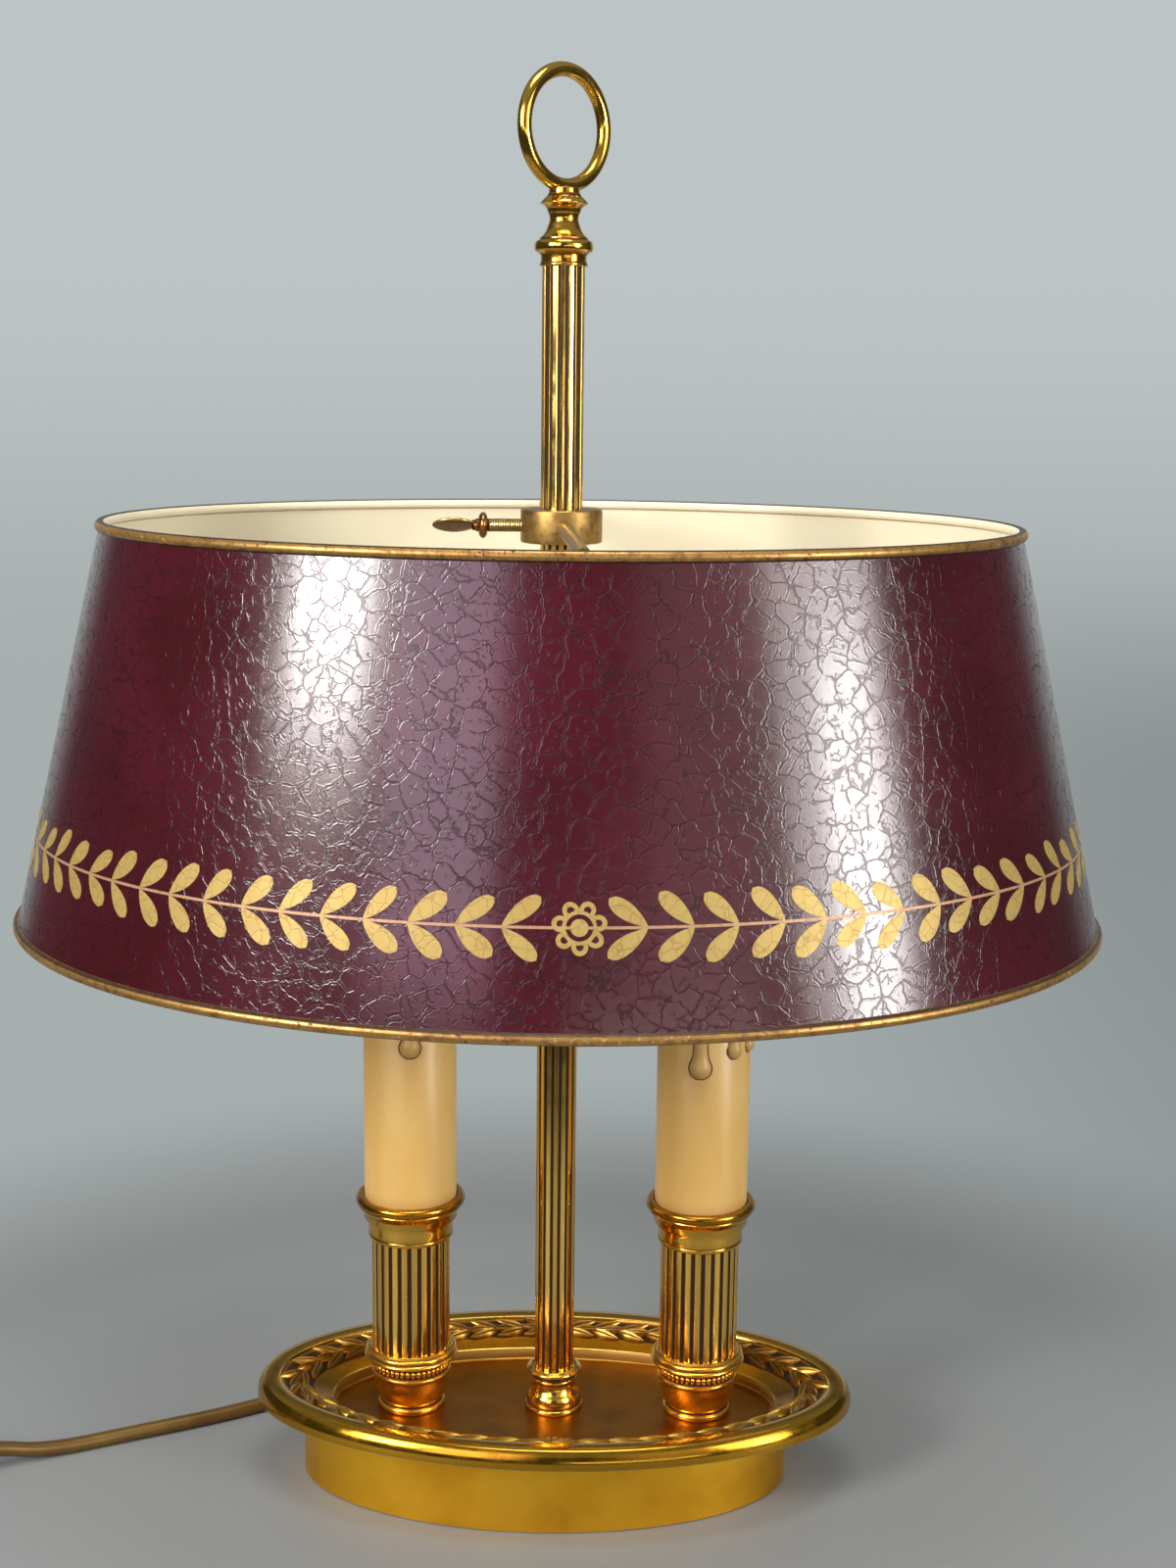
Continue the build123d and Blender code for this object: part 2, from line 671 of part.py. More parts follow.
# ---------------------------------------------------------------- wiring in the base
def make_terminal_block():
    """Two-pole terminal block on the cover plate."""
    block = Pos(0, terminal_y, ballast_z) * Box(
        terminal_length, terminal_width, 0.45 * terminal_height, align=(Align.CENTER, Align.CENTER, Align.MIN))
    for side in (-1, 1):
        pole = Pos(side * terminal_length / 4, terminal_y, ballast_z + 0.55 * terminal_height)
        block += pole * Rot(90, 0, 0) * Cylinder(0.42 * terminal_height, terminal_width)
        block -= Pos(side * terminal_length / 4, terminal_y, ballast_z + 0.6 * terminal_height) * rod(
            1.6, 0, terminal_height)
    return block


def make_cord_anchor():
    """Cord grip that holds the flex on the cover plate."""
    height = cord_exit_z + 2 * cord_radius - ballast_z
    block = Pos(0, anchor_y, ballast_z) * Box(
        anchor_length, anchor_width, height, align=(Align.CENTER, Align.CENTER, Align.MIN))
    block = fillet(block.edges().filter_by(Axis.Y).group_by(Axis.Z)[-1], 1.5)
    return block - Pos(0, anchor_y, cord_exit_z) * Rot(90, 0, 0) * Cylinder(
        cord_radius + seat_clearance, anchor_width)


def make_inner_cord():
    """Flex from the bush's tip through the anchor to the terminal block."""
    start = terminal_y + terminal_width / 2
    return Pos(0, start, cord_exit_z) * Rot(-90, 0, 0) * rod(cord_radius, 0, cord_tip_y - start)


def make_cord_bush():
    """Tapered bush: spigot through the band, flange outside it and a long nose round the flex."""
    inside = -foot_wall - 1.6
    bore = cord_radius + seat_clearance
    outline = line_xz(
        (bore, inside), (bush_hole_radius - seat_clearance, inside), (bush_hole_radius - seat_clearance, 0.3),
        (bush_flange_radius, 0.3), (bush_flange_radius - 0.4, bush_flange), (bush_root_radius, bush_flange),
        (bush_tip_radius, bush_flange + bush_length), (bore, bush_flange + bush_length), (bore, inside))
    return Pos(0, foot_half_width, cord_exit_z) * Rot(-90, 0, 0) * turned(outline)


# ---------------------------------------------------------------- shade
def make_shade_shell():
    """Oval cone of sheet metal."""
    def cone(inset):
        return loft([
            oval(shade_bottom_half_length - inset, shade_bottom_half_width - inset, shade_bottom_z),
            oval(shade_top_half_length - inset, shade_top_half_width - inset, shade_top_z)])
    shell = cone(-shade_sheet / 2) - cone(shade_sheet / 2)
    return shell - make_top_rim() - make_bottom_rim()


def make_top_rim():
    """Wired edge at the top of the shade."""
    return oval_ring(shade_top_half_length, shade_top_half_width, shade_top_z, rim_wire_radius)


def make_bottom_rim():
    """Wired edge at the bottom of the shade."""
    return oval_ring(shade_bottom_half_length, shade_bottom_half_width, shade_bottom_z, rim_wire_radius)


def make_clamp_block():
    """Clamp that slides on the stem, with sockets for two arms and a tapped hole for the screw."""
    block = tube(clamp_radius, stem_radius + slide_clearance, clamp_z - clamp_height / 2, clamp_height)
    block = chamfer(block.edges().filter_by(GeomType.CIRCLE).filter_by(lambda e: e.radius > clamp_radius - 0.1),
                    clamp_chamfer)
    for turn in (-90, 90):
        block -= arm_rod(turn, clamp_radius)
    hole = Pos(0, 0, clamp_z) * Rot(0, 0, clamp_turn) * Rot(0, -90, 0) * rod(
        screw_radius + slide_clearance, 0, 2 * clamp_radius)
    return block - hole


def arm_rod(turn, reach):
    """A round rod from its socket in the clamp outwards, at an angle about the stem."""
    start = clamp_radius - arm_socket_depth
    return Pos(0, 0, clamp_z) * Rot(0, 0, clamp_turn + turn) * Rot(0, 90, 0) * rod(
        arm_radius, start, reach - start)


def make_arm(turn):
    """Arm from the clamp to the shade's top rim, coped to the rim wire."""
    along = math.radians(clamp_turn + turn)
    rim_reach = 1 / math.hypot(math.cos(along) / shade_top_half_length, math.sin(along) / shade_top_half_width)
    return arm_rod(turn, rim_reach - 0.5 * rim_wire_radius) - make_top_rim()


def make_thumb_screw():
    """Thumb screw: threaded shank, turned bead, neck and an oval paddle."""
    tip = stem_radius + moving_gap
    thread_end = clamp_radius + screw_exposed
    bead_end = thread_end + screw_bead_length
    neck_end = bead_end + screw_neck_length
    shank = rod(screw_radius, tip, thread_end - tip)
    bead = turned(
        line_xz((0, thread_end), (screw_radius, thread_end)),
        ThreePointArc((screw_radius, 0, thread_end), (screw_bead_radius, 0, (thread_end + bead_end) / 2),
                      (screw_radius, 0, bead_end)),
        line_xz((screw_radius, bead_end), (0, bead_end), (0, thread_end)))
    neck = Pos(0, 0, bead_end) * Cone(screw_radius, 0.75 * screw_radius, screw_neck_length,
                                      align=(Align.CENTER, Align.CENTER, Align.MIN))
    leaf = extrude(Plane.YZ * Ellipse(paddle_width / 2, paddle_length / 2), paddle_thickness / 2, both=True)
    leaf = fillet(leaf.edges(), 0.4 * paddle_thickness)
    paddle = Pos(0, 0, neck_end + paddle_length / 2 - 1.0) * Rot(0, 0, paddle_tilt) * leaf
    screw = shank + bead + neck + paddle
    return Pos(0, 0, clamp_z) * Rot(0, 0, clamp_turn) * Rot(0, -90, 0) * screw


# ---------------------------------------------------------------- flex, switch and plug
def corner_radii(points):
    """One radius for each inner point: as large as its two runs allow."""
    places = [Vector(*p) for p in points]
    radii = []
    for before, here, after in zip(places, places[1:], places[2:]):
        turn = math.radians((here - before).get_angle(after - here))
        run = min((here - before).length, (after - here).length)
        radii.append(0.45 * run / math.tan(turn / 2))
    return radii


def make_flex(name, points):
    """A round flex along straight runs joined by tangent arcs."""
    radii = corner_radii(points)
    path = FilletPolyline(*points, radius=radii)
    flex = sweep(Plane(path @ 0, z_dir=path % 0) * Circle(cord_radius), path=path)
    expected = math.pi * cord_radius ** 2 * path.length
    print(f"{name}: length {path.length:.1f} mm, radii {[round(r, 1) for r in radii]},"
          f" volume / section times length {flex.volume / expected:.4f}")
    return flex


def make_coil():
    """Outer shape of the coiled flex."""
    width = 2 * cord_radius * coil_columns
    height = 2 * cord_radius * coil_layers
    section = Pos(coil_turn_radius, 0, height / 2) * Rot(90, 0, 0) * RectangleRounded(
        width, height, 0.9 * cord_radius)
    return Pos(*coil_centre, 0) * revolve(section, Axis.Z)


def switch_block(inset, z, height):
    """Block with the switch's outline, in the switch's own frame, smaller by an inset."""
    outline = RectangleRounded(switch_length - 2 * inset, switch_width - 2 * inset, switch_corner - inset)
    return Pos(switch_length / 2, 0, z) * extrude(outline, height, dir=(0, 0, 1))


def switch_frame():
    """The switch's own frame: X along the flex, origin on the table under its near end."""
    return heading_frame((switch_start[0], switch_start[1], 0), switch_heading)


def cord_way():
    """Hole for the flex through both ends of the switch."""
    return Pos(-1, 0, switch_height / 2) * Rot(0, 90, 0) * rod(cord_radius, 0, switch_length + 2)


def make_switch_lower():
    """Lower half of the switch's case."""
    half = switch_height / 2
    case = switch_block(0, 0, half)
    case = chamfer(case.edges().group_by(Axis.Z)[0], 1.2)
    case -= switch_block(switch_wall, switch_wall, half)
    case += Pos(switch_length / 2, 0, 0) * rod(switch_screw_head_radius + 1.2, 0, half)
    case -= Pos(switch_length / 2, 0, 0) * rod(switch_screw_radius, 0, half)
    case -= Pos(switch_length / 2, 0, 0) * rod(switch_screw_head_radius, 0, 2.0)
    return switch_frame() * (case - end_ways())


def end_ways():
    """Half holes for the flex in the two end walls of the case."""
    way = cord_way()
    middle = Pos(switch_length / 2, 0, 0) * Box(
        switch_length - 2 * switch_wall, switch_width, 2 * switch_height)
    return way - middle


def make_switch_upper():
    """Upper half of the switch's case, with a window and bearings for the rocker."""
    half = switch_height / 2
    case = switch_block(0, half, half)
    case = fillet(case.edges().group_by(Axis.Z)[-1], 2.2)
    case -= switch_block(switch_wall, half, half - switch_wall)
    window = Box(rocker_length + 2 * moving_gap, rocker_width + 2 * moving_gap, switch_height)
    case -= Pos(switch_length / 2, 0, switch_height) * window
    for side in (-1, 1):
        place = Pos(switch_length / 2, side * (rocker_width / 2 + moving_gap + 1.2), switch_height - switch_wall)
        lug = Box(6.0, 1.8, 4.6, align=(Align.CENTER, Align.CENTER, Align.MAX))
        case += place * lug
    case -= pivot_cylinder(rocker_pin_radius + slide_clearance, rocker_width + 5.0)
    return switch_frame() * (case - end_ways())


def pivot_cylinder(radius, length):
    """A cylinder on the rocker's axis, in the switch's frame."""
    return Pos(switch_length / 2, 0, pivot_z) * Rot(90, 0, 0) * Cylinder(
        radius, length)


def make_switch_rocker():
    """Rocker with its pins, resting on one side."""
    top = switch_height + rocker_rise - pivot_z
    ends = rocker_length / 2 - 0.4
    shape = Polyline((-ends, -2.6), (-ends, top), (0, top - 1.4), (ends, top), (ends, -2.6),
                     (0, -3.4), (-ends, -2.6))
    body = extrude(Plane.XZ * make_face(shape), rocker_width / 2, both=True)
    body = fillet(body.edges().filter_by(Axis.Y).group_by(Axis.Z)[-1], 0.5)
    placed = Pos(switch_length / 2, 0, pivot_z) * Rot(0, rocker_tilt, 0) * body
    return switch_frame() * (placed + pivot_cylinder(rocker_pin_radius, rocker_width + 4.2))


def make_switch_screw():
    """Screw that closes the case from below."""
    screw = rod(switch_screw_radius, 0.4, switch_height / 2 - 0.4)
    screw += rod(switch_screw_head_radius, 0.4, 1.6)
    return switch_frame() * Pos(switch_length / 2, 0, 0) * screw


def plug_frame():
    """The plug's own frame: X towards the pins, origin on the flex's end."""
    return heading_frame(plug_start, plug_heading)


def make_plug_relief():
    """Tapered strain relief behind the plug."""
    nose = Rot(0, 90, 0) * Cone(cord_radius + 0.8, 0.42 * plug_back_height, plug_relief_length,
                                align=(Align.CENTER, Align.CENTER, Align.MIN))
    return plug_frame() * nose


def make_plug_body():
    """Flat moulded plug that widens towards its face."""
    sections = [
        Plane((plug_relief_length, 0, 0), z_dir=(1, 0, 0)) * RectangleRounded(
            plug_back_height, plug_back_width, 4.0),
        Plane((plug_relief_length + 0.45 * plug_length, 0, 0), z_dir=(1, 0, 0)) * RectangleRounded(
            plug_height, 0.86 * plug_width, 5.0),
        Plane((plug_relief_length + plug_length, 0, 0), z_dir=(1, 0, 0)) * RectangleRounded(
            plug_height, plug_width, 5.5),
    ]
    return plug_frame() * loft(sections, ruled=True)


def make_plug_pins():
    """Two round pins."""
    start = plug_relief_length + plug_length
    tip = 0.4 * plug_pin_radius
    pin = Rot(0, 90, 0) * rod(plug_pin_radius, 0, plug_pin_length)
    pin = chamfer(pin.edges().group_by(Axis.X)[-1], tip)
    places = [Pos(start, side * plug_pin_spacing / 2, 0) for side in (-1, 1)]
    return plug_frame() * Compound([place * pin for place in places])


# ---------------------------------------------------------------- assembly
# Wax runs: angle about the sleeve (-90 faces the viewer), lower end, drop radius and width
left_drips = [(-84.0, 147.6, 3.4, 4.2), (-8.0, 154.0, 2.0, 3.0)]
right_drips = [(-96.0, 142.4, 3.6, 4.4), (-52.0, 148.5, 2.8, 4.0), (-22.0, 149.0, 2.4, 3.6)]


def build():
    """Every piece of the lamp, by name."""
    nodes = {
        "foot_band": make_foot_band(),
        "ballast": make_ballast(),
        "bottom_plate": make_bottom_plate(),
        "base_felt": make_base_felt(),
        "cover_screws": make_cover_screws(),
        "tray": make_tray(),
        "stem_collar": make_stem_collar(),
        "stem_tube": make_stem_tube(),
        "tie_rod": make_tie_rod(),
        "rod_washer": make_rod_washer(),
        "rod_nut": make_rod_nut(),
        "finial_baluster": make_finial_baluster(),
        "finial_ring": make_finial_ring(),
        "terminal_block": make_terminal_block(),
        "cord_anchor": make_cord_anchor(),
        "inner_cord": make_inner_cord(),
        "cord_bush": make_cord_bush(),
        "shade_shell": make_shade_shell(),
        "shade_top_rim": make_top_rim(),
        "shade_bottom_rim": make_bottom_rim(),
        "clamp_block": make_clamp_block(),
        "arm_front": make_arm(-90),
        "arm_back": make_arm(90),
        "thumb_screw": make_thumb_screw(),
        "cord_lead": make_flex("cord_lead", [(0, cord_tip_y, cord_exit_z)] + lead_points),
        "switch_lower": make_switch_lower(),
        "switch_upper": make_switch_upper(),
        "switch_rocker": make_switch_rocker(),
        "switch_screw": make_switch_screw(),
        "cord_tail": make_flex("cord_tail", [tuple(switch_far_end())] + tail_points),
        "cord_coil": make_coil(),
        "cord_end": make_flex("cord_end", end_points),
        "plug_relief": make_plug_relief(),
        "plug_body": make_plug_body(),
        "plug_pins": make_plug_pins(),
    }
    for name, side, drips in (("left", -1, left_drips), ("right", 1, right_drips)):
        x = side * candle_x
        nodes[f"candle_cup_{name}"] = make_candle_cup(x)
        nodes[f"column_{name}"] = make_column(x)
        nodes[f"capital_{name}"] = make_capital(x)
        nodes[f"sleeve_{name}"] = make_sleeve(x, drips)
        nodes[f"nipple_{name}"] = make_nipple(x)
        nodes[f"nipple_nut_{name}"] = make_nipple_nut(x)
        nodes[f"holder_body_{name}"] = make_holder_body(x)
        nodes[f"screw_shell_{name}"] = make_screw_shell(x)
        nodes[f"centre_contact_{name}"] = make_centre_contact(x)
        nodes[f"lamp_cap_{name}"] = make_lamp_cap(x)
        nodes[f"lamp_glass_{name}"] = make_lamp_glass(x)
        nodes[f"lead_{name}"] = make_lead(side)
    return nodes


def switch_far_end():
    """Where the flex leaves the switch."""
    heading = math.radians(switch_heading)
    return Vector(*switch_start) + Vector(math.cos(heading), math.sin(heading), 0) * switch_length


if __name__ == "__main__":
    os.makedirs("parts", exist_ok=True)
    for node, shape in build().items():
        export_step(shape, f"parts/{node}.step")
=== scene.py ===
"""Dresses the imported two-light bouillotte lamp: oval brass tray, candle columns, fluted stem, sliding tole shade."""
import logging
import math
import random
from bisect import bisect_right
from dataclasses import dataclass, replace
from enum import Enum
from typing import Callable, Sequence

import bmesh
import bpy
from mathutils import Matrix, Vector


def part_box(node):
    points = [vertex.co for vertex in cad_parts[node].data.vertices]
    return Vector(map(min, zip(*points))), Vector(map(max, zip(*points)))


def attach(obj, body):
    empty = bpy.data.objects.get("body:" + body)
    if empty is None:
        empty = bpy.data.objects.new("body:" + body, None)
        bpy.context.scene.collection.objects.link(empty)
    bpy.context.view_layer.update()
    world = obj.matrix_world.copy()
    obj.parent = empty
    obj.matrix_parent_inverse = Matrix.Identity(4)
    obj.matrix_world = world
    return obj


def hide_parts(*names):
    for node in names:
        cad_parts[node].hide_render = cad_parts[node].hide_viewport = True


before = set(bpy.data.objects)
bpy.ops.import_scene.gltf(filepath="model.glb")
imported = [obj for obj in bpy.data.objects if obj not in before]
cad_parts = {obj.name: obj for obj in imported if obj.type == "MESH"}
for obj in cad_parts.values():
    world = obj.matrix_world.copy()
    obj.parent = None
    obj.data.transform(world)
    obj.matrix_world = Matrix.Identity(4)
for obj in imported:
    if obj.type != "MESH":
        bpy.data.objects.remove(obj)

MM = 0.001
LOG = logging.getLogger("lamp")
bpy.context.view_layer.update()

Colour = tuple[float, float, float]
Point = tuple[float, float, float]
Spot = tuple[float, float]
BLACK: Colour = (0.0, 0.0, 0.0)
DRUM = 100.0  # radius on which the shade is turned before it is bent to its ovals
TRAY_FLOOR = 21.8  # height of the tray's sunk floor


# ---------------------------------------------------------------- shader maths
class Value:
    """A shader socket that can stand in a Python expression."""

    def __init__(self, graph: "Graph", socket: bpy.types.NodeSocket) -> None:
        """Wraps a socket of a graph."""
        self.graph = graph
        self.socket = socket

    def _math(self, operation: str, first: "Number", second: "Number") -> "Value":
        """The result of one Math node."""
        return self.graph.value("ShaderNodeMath", {"operation": operation}, {0: first, 1: second})

    def __add__(self, other: "Number") -> "Value":
        """Sum."""
        return self._math("ADD", self, other)

    __radd__ = __add__

    def __sub__(self, other: "Number") -> "Value":
        """Difference."""
        return self._math("SUBTRACT", self, other)

    def __rsub__(self, other: "Number") -> "Value":
        """Difference with the number first."""
        return self._math("SUBTRACT", other, self)

    def __mul__(self, other: "Number") -> "Value":
        """Product."""
        return self._math("MULTIPLY", self, other)

    __rmul__ = __mul__

    def most(self, other: "Number") -> "Value":
        """The larger of two values."""
        return self._math("MAXIMUM", self, other)

    def least(self, other: "Number") -> "Value":
        """The smaller of two values."""
        return self._math("MINIMUM", self, other)

    def step(self, low: float, high: float) -> "Value":
        """A smooth step.

        Args:
            low: where the result is 0.
            high: where the result is 1; below low, the step goes down.

        Returns:
            A value from 0 to 1.
        """
        return self.graph.value(
            "ShaderNodeMapRange", {"interpolation_type": "SMOOTHSTEP", "clamp": True},
            {"Value": self, "From Min": min(low, high), "From Max": max(low, high),
             "To Min": float(low > high), "To Max": float(low < high)})


Number = Value | float


class Graph:
    """The node tree of one material or world."""

    def __init__(self, owner: bpy.types.Material | bpy.types.World) -> None:
        """Starts with an empty tree.

        Args:
            owner: the material or world.
        """
        self.owner = owner
        owner.use_nodes = True
        self.tree = owner.node_tree
        self.tree.nodes.clear()
        self._place: Value | None = None

    def node(self, kind: str, settings: dict, sockets: dict) -> bpy.types.Node:
        """Adds any node.

        Args:
            kind: the node's type.
            settings: its properties.
            sockets: values or links for its inputs, by name or number.

        Returns:
            The new node.
        """
        node = self.tree.nodes.new(kind)
        for name, setting in settings.items():
            setattr(node, name, setting)
        for key, value in sockets.items():
            socket = node.inputs[key]
            if isinstance(value, Value):
                self.tree.links.new(value.socket, socket)
            elif isinstance(value, tuple) and socket.type == "RGBA":
                socket.default_value = (*value, 1.0)
            else:
                socket.default_value = value
        return node

    def value(self, kind: str, settings: dict | None = None, sockets: dict | None = None,
              output: int | str = 0) -> Value:
        """One output of a new node."""
        return Value(self, self.node(kind, settings or {}, sockets or {}).outputs[output])

    def rays(self, *kinds: str) -> list[Value]:
        """For each kind of ray, 1 where it is that kind."""
        node = self.node("ShaderNodeLightPath", {}, {})
        return [Value(self, node.outputs[f"Is {kind} Ray"]) for kind in kinds]

    def place(self) -> Value:
        """Object coordinates.

        Returns:
            A vector in millimetres, made once.
        """
        if self._place is None:
            self._place = self.value("ShaderNodeVectorMath", {"operation": "SCALE"}, {
                0: self.value("ShaderNodeTexCoord", output="Object"), "Scale": 1.0 / MM})
        return self._place

    def part(self, vector: Value, axis: int) -> Value:
        """One component of a vector."""
        return self.value("ShaderNodeSeparateXYZ", {}, {0: vector}, axis)

    def stretch(self, vector: Value, scale: Point) -> Value:
        """A vector scaled along each axis."""
        return self.value("ShaderNodeVectorMath", {"operation": "MULTIPLY"}, {0: vector, 1: scale})

    def shift(self, vector: Value, other: Value | Point) -> Value:
        """A vector moved by another."""
        return self.value("ShaderNodeVectorMath", {"operation": "ADD"}, {0: vector, 1: other})

    def noise(self, size: float, detail: float = 2.0, rough: float = 0.5, where: Value | None = None) -> Value:
        """Noise with clouds of a size in millimetres, octaves and their strength, read in Object coordinates."""
        return self.value("ShaderNodeTexNoise", {}, {
            "Vector": where or self.place(), "Scale": 1.0 / size, "Detail": detail, "Roughness": rough})

    def wobble(self, vector: Value, size: float, strength: float) -> Value:
        """A vector shaken by noise.

        Args:
            vector: the vector to shake.
            size: size of the noise's clouds.
            strength: how far it is shaken.

        Returns:
            The shaken vector.
        """
        cloud = self.value("ShaderNodeTexNoise", {}, {"Vector": vector, "Scale": 1.0 / size, "Detail": 2.0}, 1)
        centred = self.shift(cloud, (-0.5, -0.5, -0.5))
        return self.shift(vector, self.stretch(centred, (strength, strength, strength)))

    def cracks(self, size: float, where: Value) -> Value:
        """The distance to the edge of irregular cells of a size, as a share of it."""
        return self.value("ShaderNodeTexVoronoi", {"feature": "DISTANCE_TO_EDGE"},
                          {"Vector": where, "Scale": 1.0 / size, "Randomness": 1.0})

    def attribute(self, name: str) -> Value:
        """A mesh attribute's value, 0 where the mesh has none."""
        return self.value("ShaderNodeAttribute", {"attribute_name": name}, output="Fac")

    def mix(self, factor: Number, first: Value | Colour, second: Value | Colour) -> Value:
        """A colour between two colours."""
        return self.value("ShaderNodeMix", {"data_type": "RGBA"}, {0: factor, 6: first, 7: second}, 2)

    def bump(self, height: Value, depth: float, strength: float) -> Value:
        """A normal from a height from 0 to 1, where 1 stands for a depth in millimetres."""
        return self.value("ShaderNodeBump", {}, {"Height": height, "Distance": depth * MM, "Strength": strength})

    def surface(self, **sockets: Number | Colour) -> bpy.types.Material:
        """Ends the material in one Principled shader, whose inputs have an underscore for each space."""
        named = {key.replace("_", " "): value for key, value in sockets.items()}
        return self.end("ShaderNodeOutputMaterial", self.value("ShaderNodeBsdfPrincipled", {}, named))

    def end(self, kind: str, shader: Value) -> bpy.types.Material | bpy.types.World:
        """Links the last shader to the output and gives what is finished."""
        self.node(kind, {}, {"Surface": shader})
        return self.owner


# ---------------------------------------------------------------- finishes
@dataclass(frozen=True)
class Finish:
    """A finish that surfaces share: its name is the material's, its slot the record's."""

    name: str
    slot: str

    def material(self) -> bpy.types.Material:
        """The finish's material, made once."""
        return bpy.data.materials.get(self.name) or self.paint(Graph(bpy.data.materials.new(self.name)))

    def paint(self, graph: Graph) -> bpy.types.Material:
        """Builds the material."""
        raise NotImplementedError


@dataclass(frozen=True)
class Brass(Finish):
    """Lacquered brass with patina in its hollows."""

    slot: str = "polished_brass"
    bright: Colour = (0.80, 0.47, 0.075)
    deep: Colour = (0.58, 0.24, 0.018)
    dirt: Colour = (0.030, 0.009, 0.002)
    dull: Colour = (0.38, 0.150, 0.003)
    dull_deep: Colour = (0.27, 0.095, 0.001)
    worn: Colour = (0.92, 0.68, 0.24)
    gloss: float = 0.10
    haze: float = 0.16
    stains: float = 0.35
    grain: float = 0.35
    grain_size: float = 0.6
    wear: float = 0.0

    def paint(self, graph: Graph) -> bpy.types.Material:
        """Bright metal, warmer towards the hollows, dark in them, matte where it is dull, pale on worn edges and on the
        tray's step wall, where it is partly a painted highlight.

        Args:
            graph: the material's empty tree.

        Returns:
            The finished material.
        """
        cloud = graph.noise(9.0, 4.0, 0.6)
        fine = graph.noise(1.6, 3.0, 0.65)
        hollow = graph.attribute("hollow")
        matte = graph.attribute("dull")
        # edge mark: pale worn colour on worn edges; on the tray's step wall it is partly a painted highlight
        rubbed = (graph.attribute("edge") + (fine - 0.5) * 0.3).step(0.35, 0.8) * self.wear
        warm = (hollow * 0.9 + cloud.step(0.46, 0.78) * self.stains).step(0.08, 0.75)
        black = (hollow + (fine - 0.5) * 0.35).step(0.42, 0.85)
        plain = graph.mix(graph.noise(22.0, 3.0, 0.5).step(0.35, 0.7), self.dull, self.dull_deep)
        colour = graph.mix(matte, graph.mix(warm, self.bright, self.deep), plain)
        colour = graph.mix(rubbed, graph.mix(black, colour, self.dirt), self.worn)
        specks = graph.noise(0.5, 2.0, 0.5).step(0.70, 0.80) * 0.5
        rough = cloud.step(0.35, 0.8) * self.haze + self.gloss + black * 0.35 + specks * 0.12
        rough = rough + matte * 0.10 + graph.attribute("satin") * 0.26
        grit = graph.noise(self.grain_size, 2.0, 0.6) * matte * self.grain
        return graph.surface(
            Base_Color=colour, Metallic=1.0 - black * 0.55, Roughness=rough,
            Normal=graph.bump(graph.noise(14.0, 2.0, 0.5) * 0.5 + grit, 0.16, 0.55))


@dataclass(frozen=True)
class SatinBand(Finish):
    """Brass brushed along the foot band."""

    bright: Colour = (0.97, 0.53, 0.035)
    deep: Colour = (0.68, 0.31, 0.012)

    def paint(self, graph: Graph) -> bpy.types.Material:
        """Fine horizontal brushing with soft clouds.

        Args:
            graph: the material's empty tree.

        Returns:
            The finished material.
        """
        brushed = graph.noise(1.0, 3.0, 0.7, graph.stretch(graph.place(), (0.03, 0.03, 2.4)))
        cloud = graph.noise(26.0, 3.0, 0.55)
        spots = graph.noise(1.3, 2.0, 0.5).step(0.70, 0.76)
        return graph.surface(
            Base_Color=graph.mix(cloud.step(0.35, 0.75) * 0.7 + spots * 0.3, self.bright, self.deep),
            Metallic=1.0, Roughness=brushed * 0.14 + cloud * 0.10 + 0.27, Normal=graph.bump(brushed, 0.03, 0.5))


@dataclass(frozen=True)
class AntiqueBrass(Finish):
    """Dull brown brass of the clamp and its arms."""

    light: Colour = (0.38, 0.235, 0.070)
    dark: Colour = (0.13, 0.068, 0.018)
    worn: Colour = (0.58, 0.37, 0.12)

    def paint(self, graph: Graph) -> bpy.types.Material:
        """Matte mottling with bare metal on the edges.

        Args:
            graph: the material's empty tree.

        Returns:
            The finished material.
        """
        mottled = graph.noise(2.6, 4.0, 0.62)
        grit = graph.noise(0.32, 2.0, 0.6)
        bare = (graph.attribute("edge") + (mottled - 0.5) * 0.8).step(0.45, 0.8)
        shade = mottled.step(0.4, 0.72) * 0.7 + graph.attribute("hollow") * 0.7
        return graph.surface(
            Base_Color=graph.mix(bare, graph.mix(shade, self.light, self.dark), self.worn), Metallic=0.92,
            Roughness=grit * 0.16 + 0.34 - bare * 0.16, Normal=graph.bump(grit * 0.6 + mottled * 0.4, 0.07, 0.6))


